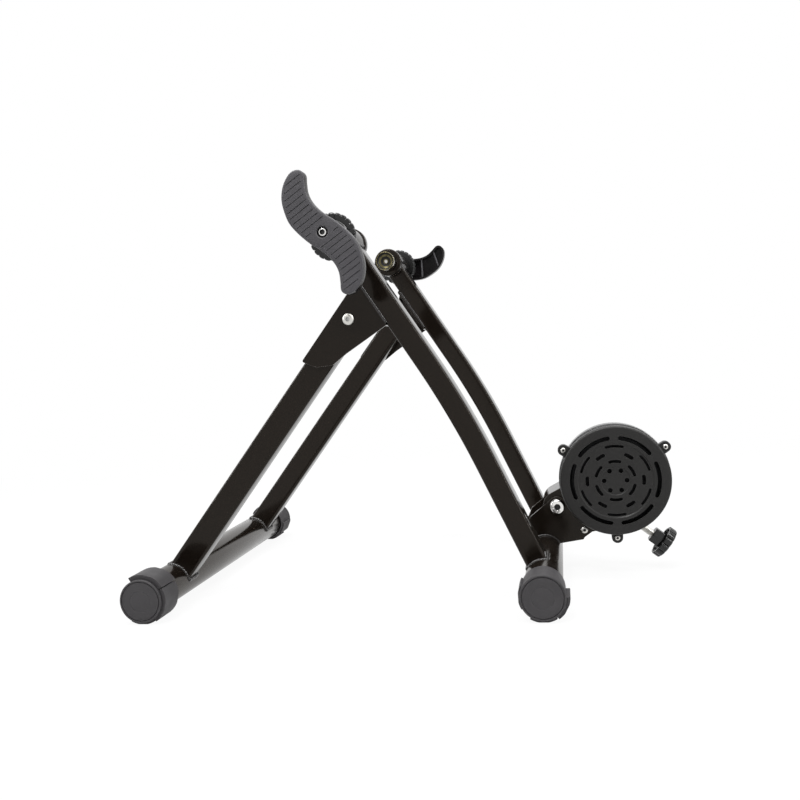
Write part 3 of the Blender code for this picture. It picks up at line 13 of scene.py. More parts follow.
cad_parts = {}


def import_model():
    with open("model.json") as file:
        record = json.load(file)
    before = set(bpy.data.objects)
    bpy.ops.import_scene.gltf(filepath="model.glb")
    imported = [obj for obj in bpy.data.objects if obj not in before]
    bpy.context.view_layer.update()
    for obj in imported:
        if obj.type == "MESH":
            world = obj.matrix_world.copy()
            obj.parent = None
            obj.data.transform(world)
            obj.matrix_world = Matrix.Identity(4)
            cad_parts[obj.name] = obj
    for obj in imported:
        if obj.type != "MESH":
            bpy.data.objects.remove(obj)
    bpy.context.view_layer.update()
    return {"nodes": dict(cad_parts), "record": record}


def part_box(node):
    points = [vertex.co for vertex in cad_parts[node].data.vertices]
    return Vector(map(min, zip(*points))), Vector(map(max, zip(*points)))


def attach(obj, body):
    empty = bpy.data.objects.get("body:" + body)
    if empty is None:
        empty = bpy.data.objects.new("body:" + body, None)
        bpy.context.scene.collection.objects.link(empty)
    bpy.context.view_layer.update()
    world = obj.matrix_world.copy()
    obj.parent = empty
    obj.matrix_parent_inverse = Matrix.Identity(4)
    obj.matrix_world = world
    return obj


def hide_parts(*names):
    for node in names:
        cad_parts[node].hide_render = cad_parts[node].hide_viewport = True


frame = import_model()

RECORD = frame["record"]
SLOT_OF = {part["node"]: part["material_slot"] for part in RECORD["subparts"]}
BODY_OF = {name: body for body, names in RECORD["behaviour"]["bodies"].items() for name in names}
JOINTS = {joint["name"]: joint for joint in RECORD["behaviour"]["joints"]}

NEAR = -1
FAR = 1
SIDES = (("near", NEAR), ("far", FAR))

# Round counts
FINE = 128
ROUND = 72
SMALL = 40

# Sizes that the frame's boxes don't give
CORNER = 0.003                   # outside radius of the rectangular tubes
TUBE_WALL = 0.0015
FOOT_TUBE_WALL = 0.002
REAR_LEG_WIDTH = 0.0220
FRONT_LEG_WIDTH = 0.0266
BEND_SETBACK = 0.0783
BEND_HEIGHT = 0.1976
BEND_REACH = 0.062
COLLAR_STEP = 0.0014             # of the axle sleeves
FIT = 0.0003
PLATE = 0.0022
ARM_PLATE = 0.0025
TENSION_TILT = 52.0
FOLD_BORE = 0.0033
PIVOT_BORE = 0.0053
BRACKET_BORE = 0.0028
SPINDLE_BORE = 0.0084
TENSION_BORE = 0.0043
PAST = 0.002                     # how far a cutter stands out of what it cuts


def centre(node):
    low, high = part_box(node)
    return (low + high) / 2


def size(node):
    low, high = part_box(node)
    return high - low


def span(node, side):
    """Inner and outer end of a node as distances out on a side."""
    return sorted(side * corner.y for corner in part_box(node))


def flat(point):
    """The point moved into the middle plane."""
    return Vector((point.x, 0.0, point.z))


def in_front(direction):
    """The direction turned a quarter in the middle plane."""
    return Vector((direction.z, 0.0, -direction.x))


REAR_FOOT = flat(centre("rear_foot_tube"))
FRONT_FOOT = flat(centre("front_foot_tube"))
FEET = (("rear", REAR_FOOT), ("front", FRONT_FOOT))
AXLE = flat(centre("axle_cup_near"))
FOLD_PIVOT = Vector(JOINTS["fold"]["pos_m"])
ARM_PIVOT = Vector(JOINTS["arm_swing"]["pos_m"])
ROLLER = Vector(JOINTS["roller_spin"]["pos_m"])
TENSION_NUT = Vector(JOINTS["knob_turn"]["pos_m"])
SPACER = flat(centre("bracket_spacer"))
BEND = Vector((REAR_FOOT.x - BEND_SETBACK, 0.0, BEND_HEIGHT))
LEG_DOWN = (BEND - AXLE).normalized()
LEG_FRONT = in_front(LEG_DOWN)
FRONT_DOWN = (FRONT_FOOT - FOLD_PIVOT).normalized()
FRONT_FRONT = in_front(FRONT_DOWN)
TUBE_RADIUS = size("rear_foot_tube").z / 2
TUBE_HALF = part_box("rear_foot_tube")[1].y
SLEEVE_RADIUS = size("axle_sleeve_far").z / 2 - COLLAR_STEP
LEG_OUT = centre("rear_leg_far").y
REAR_LEG = (REAR_LEG_WIDTH, size("rear_leg_far").y)
FRONT_LEG = (FRONT_LEG_WIDTH, size("front_leg_far").y)
LEG_HALF = REAR_LEG[1] / 2
ARM_LENGTH = (ROLLER - ARM_PIVOT).length
ARM_ANGLE = math.atan2(ROLLER.z - ARM_PIVOT.z, ROLLER.x - ARM_PIVOT.x)
ON_ARM = Matrix.Translation(ARM_PIVOT) @ Matrix.Rotation(-ARM_ANGLE, 4, "Y")
ON_SCREW = Matrix.Translation(TENSION_NUT) @ Matrix.Rotation(-math.radians(TENSION_TILT), 4, "Y")


# Materials

# width of the lightened edges, which are partly wear and partly a painted highlight
EDGE_WEAR_AND_HIGHLIGHT_RADIUS = 0.0009


class Shader:
    """A Principled material and short ways to wire noise, mixes and bump into it."""

    def __init__(self, name, colour, roughness, metallic=0.0, **sockets):
        self.material = bpy.data.materials.new(name)
        self.material.use_nodes = True
        self.tree = self.material.node_tree
        self.link = self.tree.links.new
        self.shader = self.tree.nodes["Principled BSDF"]
        self.colour = colour
        self.shader.inputs["Base Color"].default_value = (*colour, 1.0)
        self.shader.inputs["Roughness"].default_value = roughness
        self.shader.inputs["Metallic"].default_value = metallic
        for socket, value in sockets.items():
            self.shader.inputs[socket.replace("_", " ")].default_value = value
        self.coordinates = self.node("ShaderNodeTexCoord").outputs["Object"]
        self.normal = None

    def node(self, kind, **inputs):
        made = self.tree.nodes.new(kind)
        for name, value in inputs.items():
            socket = made.inputs[name.replace("_", " ")]
            if isinstance(value, bpy.types.NodeSocket):
                self.link(value, socket)
            else:
                socket.default_value = value
        return made

    def noise(self, scale, detail=4.0, roughness=0.55, vector=None):
        return self.node("ShaderNodeTexNoise", Scale=scale, Detail=detail, Roughness=roughness,
                         Vector=vector or self.coordinates).outputs["Fac"]

    def ramp(self, value, low, high, first, last):
        return self.node("ShaderNodeMapRange", Value=value, From_Min=low, From_Max=high,
                         To_Min=first, To_Max=last).outputs["Result"]

    def roughen(self, value, low, high):
        self.link(self.ramp(value, 0.3, 0.7, low, high), self.shader.inputs["Roughness"])

    def tint(self, factor, other):
        """Mixes the base colour towards another where the factor is high."""
        mix = self.node("ShaderNodeMix")
        mix.data_type = "RGBA"
        self.link(factor, mix.inputs["Factor"])
        source = self.shader.inputs["Base Color"]
        if source.links:
            self.link(source.links[0].from_socket, mix.inputs[6])
        else:
            mix.inputs[6].default_value = (*self.colour, 1.0)
        mix.inputs[7].default_value = (*other, 1.0)
        self.link(mix.outputs[2], source)

    def edge_wear_and_highlight(self, amount, other):
        """Lightens the edges, unevenly: partly the wear that handling and thin paint give, partly a painted
        highlight along the edges.
        """
        softened = self.node("ShaderNodeBevel", Radius=EDGE_WEAR_AND_HIGHLIGHT_RADIUS)
        softened.samples = 4
        plain = self.node("ShaderNodeNewGeometry").outputs["Normal"]
        sameness = combined(self.tree, "ShaderNodeVectorMath", "DOT_PRODUCT", softened.outputs["Normal"],
                            plain)
        sharp = self.ramp(sameness, 0.86, 0.985, amount, 0.0)
        patches = self.ramp(self.noise(35.0, 4.0, 0.6), 0.35, 0.60, 0.35, 1.0)
        # pale edges: partly wear, partly a painted highlight in place of lamp glints on the edges
        self.tint(combined(self.tree, "ShaderNodeMath", "MULTIPLY", sharp, patches), other)

    def shine(self, strength, share):
        """Shows the camera, metal and glass a plain glow for part of what they see of the surface."""
        factor = combined(self.tree, "ShaderNodeMath", "MULTIPLY", background_rays(self.tree), share)
        glow = self.node("ShaderNodeEmission", Strength=strength)
        mix = self.node("ShaderNodeMixShader", Fac=factor)
        self.link(self.shader.outputs[0], mix.inputs[1])
        self.link(glow.outputs[0], mix.inputs[2])
        self.link(mix.outputs[0], self.tree.nodes["Material Output"].inputs["Surface"])

    def bump(self, height, strength, distance):
        made = self.node("ShaderNodeBump", Height=height, Strength=strength, Distance=distance)
        if self.normal is not None:
            self.link(self.normal, made.inputs["Normal"])
        self.normal = made.outputs["Normal"]
        self.link(self.normal, self.shader.inputs["Normal"])


def combined(tree, kind, operation, *values):
    """A math node's result for the given sockets."""
    made = tree.nodes.new(kind)
    made.operation = operation
    for number, value in enumerate(values):
        tree.links.new(value, made.inputs[number])
    return made.outputs["Value"]


def background_rays(tree):
    """1 for the camera's rays and for those that gloss and glass send on, 0 for the rest."""
    path = tree.nodes.new("ShaderNodeLightPath")
    seen = path.outputs["Is Camera Ray"]
    for name in ("Is Glossy Ray", "Is Transmission Ray"):
        seen = combined(tree, "ShaderNodeMath", "MAXIMUM", seen, path.outputs[name])
    return seen


def times(colour, factor):
    return tuple(channel * factor for channel in colour)


def enamel(name, gloss, low, high):
    """Gloss black stoved enamel: faint orange peel, dust, pale edges that are partly wear and partly painted
    highlight, and soft handling marks.
    """
    made = Shader(name, (0.0068, 0.0050, 0.0038), low, Specular_IOR_Level=gloss,
                  Specular_Tint=(1.0, 0.92, 0.83, 1.0))
    made.roughen(made.noise(9.0, 5.0, 0.65), low, high)
    made.tint(made.ramp(made.noise(55.0, 6.0, 0.7), 0.66, 0.80, 0.0, 0.25), (0.035, 0.032, 0.030))
    made.edge_wear_and_highlight(0.75, (0.17, 0.16, 0.15))
    made.bump(made.noise(260.0, 2.0, 0.4), 0.06, 0.0003)
    made.bump(made.noise(28.0, 2.0, 0.5), 0.04, 0.0010)
    return made.material


def moulded(name, colour, roughness, grain, speck, gloss, scale=1500.0):
    """Moulded plastic with a fine spark-eroded grain and uneven sheen."""
    made = Shader(name, colour, roughness, Specular_IOR_Level=gloss)
    made.roughen(made.noise(40.0), roughness - 0.06, roughness + 0.08)
    made.tint(made.ramp(made.noise(scale * 0.5, 3.0, 0.7), 0.58, 0.78, 0.0, 0.45), speck)
    made.tint(made.ramp(made.noise(22.0, 5.0, 0.6), 0.50, 0.75, 0.0, 0.30), times(colour, 1.6))
    # pale edges: partly wear, partly a painted highlight
    made.edge_wear_and_highlight(0.5, tuple(0.06 + channel * 1.5 for channel in colour))
    made.bump(made.noise(scale, 3.0, 0.6), grain, 0.0002)
    return made.material


def rubber(name, colour):
    """Moulded soft end cap: matt, slightly chalky, with rubbed patches."""
    made = Shader(name, colour, 0.62, Specular_IOR_Level=0.30)
    made.roughen(made.noise(30.0), 0.50, 0.74)
    made.tint(made.ramp(made.noise(18.0, 6.0, 0.7), 0.48, 0.74, 0.0, 0.45), times(colour, 1.5))
    made.tint(made.ramp(made.noise(700.0, 3.0, 0.7), 0.60, 0.80, 0.0, 0.5), times(colour, 2.2))
    # pale edges: partly wear, partly a painted highlight
    made.edge_wear_and_highlight(0.35, times(colour, 2.4))
    made.bump(made.noise(900.0, 3.0, 0.6), 0.28, 0.0002)
    return made.material


def metal(name, colour, low, high, grain, stretch=(1.0, 1.0, 1.0), strength=0.08, stain=None):
    """Bare or plated metal with fine tool marks and uneven gloss."""
    made = Shader(name, colour, low, 1.0)
    vector = made.node("ShaderNodeMapping", Vector=made.coordinates, Scale=stretch).outputs["Vector"]
    made.roughen(made.noise(grain, 4.0, 0.6, vector), low, high)
    made.tint(made.ramp(made.noise(60.0, 5.0, 0.65), 0.52, 0.75, 0.0, 0.5), stain or times(colour, 0.55))
    made.bump(made.noise(grain * 5.0, 2.0, 0.5, vector), strength, 0.0002)
    return made.material


SPECK = (0.02, 0.02, 0.02)
MATERIALS = {
    "black_enamel": enamel("black_enamel_finish", 0.20, 0.07, 0.16),
    "grey_plastic": moulded("handle_plastic_finish", (0.052, 0.050, 0.055), 0.50, 0.30,
                            (0.10, 0.095, 0.105), 0.40, 1300.0),
    "black_plastic": moulded("black_plastic_finish", (0.005, 0.005, 0.005), 0.14, 0.05, SPECK, 0.42),
    "cover_plastic": moulded("cover_plastic_finish", (0.0125, 0.0120, 0.0115), 0.37, 0.20,
                             (0.045, 0.043, 0.041), 0.25),
    "cap_rubber": rubber("cap_rubber_finish", (0.036, 0.034, 0.036)),
    "chrome": metal("chrome_finish", (0.78, 0.77, 0.75), 0.08, 0.20, 90.0, strength=0.04),
    "zinc": metal("zinc_finish", (0.62, 0.61, 0.58), 0.24, 0.42, 200.0, stain=(0.40, 0.38, 0.30)),
    "steel": metal("steel_finish", (0.46, 0.46, 0.46), 0.26, 0.44, 150.0, (1.0, 12.0, 1.0), 0.12),
    "aluminium": metal("aluminium_finish", (0.68, 0.68, 0.69), 0.30, 0.46, 220.0, (1.0, 8.0, 1.0), 0.15),
    "magnet": metal("magnet_finish", (0.20, 0.20, 0.21), 0.40, 0.60, 160.0),
}
CUP_BORE = metal("cup_bore_finish", (0.10, 0.088, 0.045), 0.14, 0.26, 200.0, stain=(0.03, 0.027, 0.018))
HANDLE_BACK = moulded("handle_back_finish", (0.007, 0.006, 0.0065), 0.22, 0.08, SPECK, 0.16)
FOOT_ENAMEL = enamel("foot_enamel_finish", 0.55, 0.12, 0.22)
# dark and pale metals painted into hexagon sockets as the shade in their recesses
SOCKET_SHADE = metal("socket_shade_finish", (0.05, 0.05, 0.05), 0.40, 0.60, 200.0)
PALE_SOCKET_SHADE = metal("pale_socket_shade_finish", (0.45, 0.45, 0.44), 0.35, 0.55, 200.0)
WELD = Shader("weld_finish", (0.012, 0.010, 0.009), 0.09).material
# dark metal painted where there is only shade: inside the housing and on some steps of the cup bore
PAINTED_SHADE_METAL = metal("painted_shade_metal_finish", (0.030, 0.030, 0.031), 0.45, 0.65, 160.0)


# Objects

def added(name, data):
    obj = bpy.data.objects.new(name, data)
    bpy.context.scene.collection.objects.link(obj)
    return obj


def mesh_object(name, bm):
    """A new object in the scene, made from a bmesh that is used up."""
    mesh = bpy.data.meshes.new(name)
    bm.to_mesh(mesh)
    bm.free()
    return added(name, mesh)


def cleaned(bm):
    bmesh.ops.remove_doubles(bm, verts=bm.verts, dist=2e-6)
    bmesh.ops.recalc_face_normals(bm, faces=bm.faces)
    return bm


def shade(mesh, sharp=32.0):
    mesh.shade_smooth()
    mesh.set_sharp_from_angle(angle=math.radians(sharp))


def discard(obj):
    mesh = obj.data
    bpy.data.objects.remove(obj)
    bpy.data.meshes.remove(mesh)


def piece(name, bm, node, replaces=True, finish=None, sharp=32.0, bevel=0.0):
    """A finished piece on a node's body and slot. It replaces the node, or else stands beside it."""
    obj = mesh_object(name, cleaned(bm))
    shade(obj.data, sharp)
    slot = SLOT_OF[node]
    obj.data.materials.append(finish or MATERIALS[slot])
    if bevel:
        round_edges(obj, bevel)
    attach(obj, BODY_OF[node])
    if replaces:
        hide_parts(node)
    return obj


def surface(node, bm, **options):
    """A node's new surface, with the side, where it has one, last in its name."""
    kind, _, label = node.rpartition("_")
    name = kind + "_surface_" + label if label in ("near", "far") else node + "_surface"
    return piece(name, bm, node, **options)


def welds(name, node, *beads):
    piece(name, merge(*beads), node, False, WELD, 80)


def round_edges(obj, width, segments=2, angle=38.0):
    modifier = obj.modifiers.new("rounded edges", "BEVEL")
    modifier.width = width
    modifier.segments = segments
    modifier.limit_method = "ANGLE"
    modifier.angle_limit = math.radians(angle)
    modifier.harden_normals = True
    modifier.use_clamp_overlap = True


def boolean(obj, bm, operation="DIFFERENCE"):
    """Cuts or joins a shape and applies it at once, so that no helper object stays."""
    helper = mesh_object("helper", cleaned(bm))
    modifier = obj.modifiers.new("shape", "BOOLEAN")
    modifier.operation = operation
    modifier.solver = "EXACT"
    modifier.object = helper
    bpy.context.view_layer.update()
    evaluated = obj.evaluated_get(bpy.context.evaluated_depsgraph_get())
    shaped = bpy.data.meshes.new_from_object(evaluated)
    obj.modifiers.remove(modifier)
    old = obj.data
    shaped.name = old.name
    obj.data = shaped
    bpy.data.meshes.remove(old)
    discard(helper)
    shade(shaped)


def carved(bm, cutter):
    """A shape with another cut out of it."""
    whole = mesh_object("whole", cleaned(bm))
    boolean(whole, cutter)
    result = bmesh.new()
    result.from_mesh(whole.data)
    discard(whole)
    return result


def drill(obj, radius, middle, count=SMALL):
    """Cuts a hole along Y, well past both sides."""
    boolean(obj, rod(radius, -0.05, 0.05, middle, count))


def refinish(obj, finish, chosen):
    """Gives the faces that are chosen another finish."""
    obj.data.materials.append(finish)
    for face in obj.data.polygons:
        if chosen(face):
            face.material_index = len(obj.data.materials) - 1


def off_axis(face, middle):
    """A face's distance from the Y axis through a point."""
    return math.hypot(face.center.x - middle.x, face.center.z - middle.z)


# Shapes

def merge(*parts):
    whole = bmesh.new()
    for part in parts:
        mesh = bpy.data.meshes.new("part")
        part.to_mesh(mesh)
        part.free()
        whole.from_mesh(mesh)
        bpy.data.meshes.remove(mesh)
    return whole


def moved(bm, offset):
    bmesh.ops.translate(bm, verts=bm.verts, vec=offset)
    return bm


def transformed(bm, matrix):
    bmesh.ops.transform(bm, verts=bm.verts, matrix=matrix)
    return bm


def polar(radius, degrees):
    angle = math.radians(degrees)
    return (radius * math.cos(angle), radius * math.sin(angle))


def around(middle, radius, degrees):
    """A place on a circle about a Y axis."""
    x, z = polar(radius, degrees)
    return middle + Vector((x, 0.0, z))


def arc(radius, start, end, steps, middle=(0.0, 0.0)):
    points = []
    for step in range(steps + 1):
        x, z = polar(radius, start + (end - start) * step / steps)
        points.append((middle[0] + x, middle[1] + z))
    return points


def circle(radius, count):
    return [polar(radius, 360 * index / count) for index in range(count)]


def rectangle(left, right, low, high):
    return [(left, low), (right, low), (right, high), (left, high)]


def hexagon(radius, turn=0.0):
    return [polar(radius, 60 * index + turn) for index in range(6)]


def scaled(outline, factor):
    return [(x * factor, z * factor) for x, z in outline]


def turned_outline(outline, degrees):
    rotation = Matrix.Rotation(math.radians(degrees), 2)
    return [tuple(rotation @ Vector(point)) for point in outline]


def with_next(items):
    """Each item beside the one after it, the last beside the first."""
    return zip(items, items[1:] + items[:1])


def rounded(corners, steps=4):
    """An outline of (x, z, radius) corners, each rounded by its own radius; 0 keeps the corner."""
    result = []
    points = [Vector(corner[:2]) for corner in corners]
    for index, corner in enumerate(points):
        radius = corners[index][2]
        before = points[index - 1] - corner
        after = points[(index + 1) % len(points)] - corner
        if radius <= 0.0:
            result.append(tuple(corner))
            continue
        half = before.angle(after) / 2
        reach = min(radius / math.tan(half), before.length * 0.49, after.length * 0.49)
        bisector = (before.normalized() + after.normalized()).normalized()
        middle = corner + bisector * (reach * math.tan(half) / math.sin(half))
        first = corner + before.normalized() * reach - middle
        last = corner + after.normalized() * reach - middle
        sweep = first.angle_signed(last)
        for step in range(steps + 1):
            turn = Matrix.Rotation(-sweep * step / steps, 2)
            result.append(tuple(middle + turn @ first))
    return result


def soft_tube(outer, inner, start, end, radius):
    """Profile of a tube, or of a pin when inner is 0, whose corners off the axis are rounded."""
    core = radius if inner else 0.0
    corners = [(outer, start, radius), (outer, end, radius), (inner, end, core), (inner, start, core)]
    return rounded(corners, 3)


def rings(loops, closed=True):
    """Skins loops of equal length one after another; closed joins the last to the first."""
    bm = bmesh.new()
    made = [[bm.verts.new(point) for point in loop] for loop in loops]
    for ring, following in with_next(made) if closed else zip(made, made[1:]):
        for (first, second), (third, fourth) in zip(with_next(ring), with_next(following)):
            bm.faces.new((first, second, fourth, third))
    if not closed:
        bm.faces.new(made[0])
        bm.faces.new(made[-1][::-1])
    return bm


def side_rings(side, stations, middle, closed=True):
    """Skins outlines that stand at their distances out."""
    loops = []
    for outline, out in stations:
        loops.append([(middle.x + x, side * out, middle.z + z) for x, z in outline])
    return rings(loops, closed)


def turned(profile, count=ROUND, axis="Y"):
    """A closed profile of (radius, height) points spun about Y or Z."""
    bm = bmesh.new()
    loops = []
    for radius, height in profile:
        spots = [(0.0, 0.0)] if radius < 1e-9 else circle(radius, count)
        loops.append([bm.verts.new((x, height, z) if axis == "Y" else (x, z, height)) for x, z in spots])
    for loop, following in with_next(loops):
        if len(loop) == 1 and len(following) == 1:
            continue
        for step in range(count):
            after = (step + 1) % count
            corners = [loop[step % len(loop)], loop[after % len(loop)],
                       following[after % len(following)], following[step % len(following)]]
            bm.faces.new(list(dict.fromkeys(corners)))
    return bm


def side_turned(side, profile, middle, count=ROUND):
    """A profile of (radius, distance out) spun about a Y axis through the middle."""
    return moved(turned([(radius, side * out) for radius, out in profile], count), flat(middle))


def prism(outline, start, end, middle=(0.0, 0.0, 0.0)):
    bm = bmesh.new()
    face = bm.faces.new([bm.verts.new((x, start, z)) for x, z in outline])
    extruded = bmesh.ops.extrude_face_region(bm, geom=[face])
    lifted = [item for item in extruded["geom"] if isinstance(item, bmesh.types.BMVert)]
    bmesh.ops.translate(bm, verts=lifted, vec=(0.0, end - start, 0.0))
    return moved(bm, middle)


def rod(radius, start, end, middle=(0.0, 0.0, 0.0), count=SMALL, axis="Y"):
    """A cutter or pin along Y or Z."""
    return moved(turned([(0.0, start), (radius, start), (radius, end), (0.0, end)], count, axis), middle)


def smooth_closed(points, parts):
    result = []
    count = len(points)
    for index in range(count):
        p0, p1, p2, p3 = (Vector(points[(index + shift) % count]) for shift in (-1, 0, 1, 2))
        for part in range(parts):
            t = part / parts
            point = (p1 * 2 + (p2 - p0) * t + (p0 * 2 - p1 * 5 + p2 * 4 - p3) * t * t
                     + (p1 * 3 - p0 - p2 * 3 + p3) * t * t * t) / 2
            result.append(tuple(point))
    return result


def inset_outline(points, distance):
    area = sum(a[0] * b[1] - b[0] * a[1] for a, b in with_next(points))
    sign = 1 if area > 0 else -1
    result = []
    for index, point in enumerate(points):
        along = (Vector(points[(index + 1) % len(points)]) - Vector(points[index - 1])).normalized()
        inward = Vector((-along.y, along.x)) * sign
        result.append(tuple(Vector(point) + inward * distance))
    return result


def notched(radius, depth, lobes, per_lobe):
    """Round outline with wide rounded lobes and narrow notches, a notch at each lobe's start."""
    points = []
    count = lobes * per_lobe
    for index in range(count):
        t = abs((index / per_lobe) % 1.0 - 0.5) * 2
        swell = math.sqrt(max(0.0, 1.0 - t ** 3))
        points.append(polar(radius - depth * (1.0 - swell), 360 * index / count))
    return points


def threaded_rod(start, end, radius, depth, lead, starts, count, per_pitch=8):
    """Solid rod about Y with a helical thread, from start to end."""
    pitch = lead / starts
    total = max(2, round(abs(end - start) / (pitch / per_pitch)))
    loops = []
    for index in range(total + 1):
        y = start + (end - start) * index / total
        fade = min(1.0, min(index, total - index) / (per_pitch * 0.75))
        loop = []
        for number in range(count):
            share = number / count
            phase = (y / pitch - starts * share) % 1.0
            cut = max(0.0, min(1.0, 2.6 * abs(phase - 0.5) - 0.25)) * depth
            x, z = polar(radius - cut * fade - (1 - fade) * depth, 360 * share)
            loop.append((x, y, z))
        loops.append(loop)
    return rings(loops, False)


def weld_bead(points, radius, seed, closed=False, ripple=0.0032, sides=10):
    """A weld bead along a dense row of points: overlapping ripples of uneven size."""
    travelled = 0.0
    loops = []
    count = len(points)
    for index, point in enumerate(points):
        before = points[index - 1] if closed or index else point
        after = points[(index + 1) % count] if closed or index + 1 < count else point
        along = (after - before).normalized()
        across = along.orthogonal().normalized()
        up = along.cross(across)
        travelled += (point - before).length if index else 0.0
        phase = (travelled / ripple) % 1.0
        wobble = noise.noise(Vector((travelled * 130.0, seed, 0.3)))
        swell = radius * (0.80 + 0.26 * math.sqrt(max(0.0, 1.0 - (2 * phase - 1) ** 2)) + 0.16 * wobble)
        loops.append([point + across * u + up * v for u, v in circle(swell, sides)])
    return rings(loops, closed)


# Rectangular tubes

STRAIGHT_END = 0.03
BEND_PARTS = 16
WELD_STEP = 0.0006
WELD_STANDOFF = 0.0006
WELD_SINK = 0.0002


def tube_section(width, depth, inset, across_parts=10):
    """Rounded rectangle of (across, y) points with extra points over the width."""
    w = width / 2 - inset
    d = depth / 2 - inset
    radius = max(CORNER - inset, 0.0008)
    outline = rounded([(-w, -d, radius), (w, -d, radius), (w, d, radius), (-w, d, radius)], 6)
    result = []
    for point, following in with_next(outline):
        result.append(point)
        if abs(following[0] - point[0]) > width * 0.5:
            for part in range(1, across_parts):
                t = part / across_parts
                result.append((point[0] + (following[0] - point[0]) * t, point[1]))
    return result


def round_rise(radius, across):
    """Height of a round shape over its middle; a negative radius gives a hollow."""
    return math.copysign(math.sqrt(max(radius ** 2 - across * across, 0.0)), radius)


def tube_loops(path, leg, side, inset, end_radius):
    """Stations of a rectangular tube; its ends follow the round shapes that they meet."""
    section = tube_section(*leg, inset)
    loops = []
    for index, point in enumerate(path):
        before = (point - path[index - 1]).normalized() if index else (path[1] - point).normalized()
        after = (path[index + 1] - point).normalized() if index + 1 < len(path) else before
        along = (before + after).normalized()
        across = in_front(along)
        mitre = 1.0 / along.dot(before)
        loop = []
        for u, v in section:
            place = point + across * (u * mitre) + Vector((0.0, side * LEG_OUT + v, 0.0))
            if index == 0:
                place += along * round_rise(TUBE_RADIUS + FIT, u)
            elif index == len(path) - 1:
                place += along * round_rise(end_radius, u)
            loop.append(place)
        loops.append(loop)
    return loops


def rect_tube(path, leg, side, end_radius):
    """A leg that stands on a foot tube. Its other end is round, or hollow for a negative radius."""
    outer, inner = (tube_loops(path, leg, side, inset, end_radius) for inset in (0.0, TUBE_WALL))
    return rings(outer + inner[::-1])


def saddle_weld(foot, direction, leg, side, tube_radius, bead, seed):
    """Bead all round a leg where it stands on a round tube."""
    width, depth = leg
    section = tube_section(width + 2 * WELD_STANDOFF, depth + 2 * WELD_STANDOFF, 0.0, 14)
    across = in_front(direction)
    dense = []
    for (u, v), following in with_next(section):
        parts = max(1, round(math.hypot(following[0] - u, following[1] - v) / WELD_STEP))
        for part in range(parts):
            t = part / parts
            a = u + (following[0] - u) * t
            b = v + (following[1] - v) * t
            rise = direction * round_rise(tube_radius - WELD_SINK, a)
            dense.append(foot + across * a + Vector((0.0, side * LEG_OUT + b, 0.0)) + rise)
    return weld_bead(dense, bead, seed + side, True)


def rear_leg(label, side):
    up = (BEND - REAR_FOOT).normalized()
    bend_start = BEND - up * BEND_REACH
    bend_end = BEND - LEG_DOWN * BEND_REACH
    path = [REAR_FOOT, REAR_FOOT + up * STRAIGHT_END]
    for part in range(BEND_PARTS + 1):
        t = part / BEND_PARTS
        path.append(bend_start.lerp(BEND, t).lerp(BEND.lerp(bend_end, t), t))
    path += [AXLE + LEG_DOWN * STRAIGHT_END, AXLE]
    node = "rear_leg_" + label
    surface(node, rect_tube(path, REAR_LEG, side, -(SLEEVE_RADIUS + FIT)))
    welds("rear_leg_welds_" + label, node,
          saddle_weld(REAR_FOOT, up, REAR_LEG, side, TUBE_RADIUS, bead=0.0019, seed=3.0),
          saddle_weld(AXLE, LEG_DOWN, REAR_LEG, side, SLEEVE_RADIUS, bead=0.0015, seed=5.0))


def front_leg(label, side):
    up = -FRONT_DOWN
    path = [FRONT_FOOT, FRONT_FOOT + up * STRAIGHT_END, FOLD_PIVOT - up * STRAIGHT_END, FOLD_PIVOT]
    node = "front_leg_" + label
    surface(node, rect_tube(path, FRONT_LEG, side, FRONT_LEG_WIDTH / 2))
    welds("front_leg_welds_" + label, node,
          saddle_weld(FRONT_FOOT, up, FRONT_LEG, side, TUBE_RADIUS, bead=0.0021, seed=8.0))


def foot_tube(end, foot):
    profile = soft_tube(TUBE_RADIUS, TUBE_RADIUS - FOOT_TUBE_WALL, -TUBE_HALF, TUBE_HALF, 0.0004)
    surface(end + "_foot_tube", moved(turned(profile, FINE), foot), finish=FOOT_ENAMEL)


# Fold brackets

BRACKET_DROP = 0.0276
BRACKET_RISE = 0.0330
BRACKET_TAIL = 0.0605
BRACKET_NOSE = 0.0275
BRACKET_HEEL = 0.0485
BRACKET_SWEEP = 0.022
FOLD_STANDOFF = 0.0406
STOP_GAP = 0.0005
WEB_DEPTH = 0.0130
WEB_BACK = FRONT_LEG_WIDTH / 2 + STOP_GAP
LEG_FACE = -(FOLD_STANDOFF - REAR_LEG_WIDTH / 2 - FIT)
HEEL = -FRONT_LEG_WIDTH / 2


def leg_point(down, front):
    point = LEG_DOWN * down + LEG_FRONT * front
    return (point.x, point.z)


def front_point(down, front):
    point = FRONT_DOWN * down + FRONT_FRONT * front
    return (point.x, point.z)


def bracket_outline():
    web = WEB_BACK + PLATE
    return rounded([
        (*leg_point(BRACKET_DROP, LEG_FACE), 0.0),
        (*leg_point(BRACKET_DROP, BRACKET_SWEEP), 0.03),
        (*front_point(BRACKET_HEEL, HEEL), 0.004),
        (*front_point(BRACKET_TAIL, 0.0), 0.0),
        (*front_point(BRACKET_TAIL + 0.004, web), 0.002),
        (*front_point(-BRACKET_NOSE, web), 0.0015),
        (*leg_point(-BRACKET_RISE, LEG_FACE), 0.0),
    ], 6)


def bracket_hollow(web):
    """Side view of the open space in front of the base plate, as far as web ahead of the pivot."""
    base = LEG_FACE + PLATE
    spare = 0.01
    meeting = (base - web * FRONT_FRONT.dot(LEG_FRONT)) / FRONT_DOWN.dot(LEG_FRONT)
    return [
        leg_point(BRACKET_DROP + spare, base), leg_point(BRACKET_DROP + 3 * spare, FOLD_STANDOFF),
        front_point(BRACKET_TAIL + spare, HEEL), front_point(BRACKET_TAIL + spare, web),
        front_point(meeting, web),
    ]


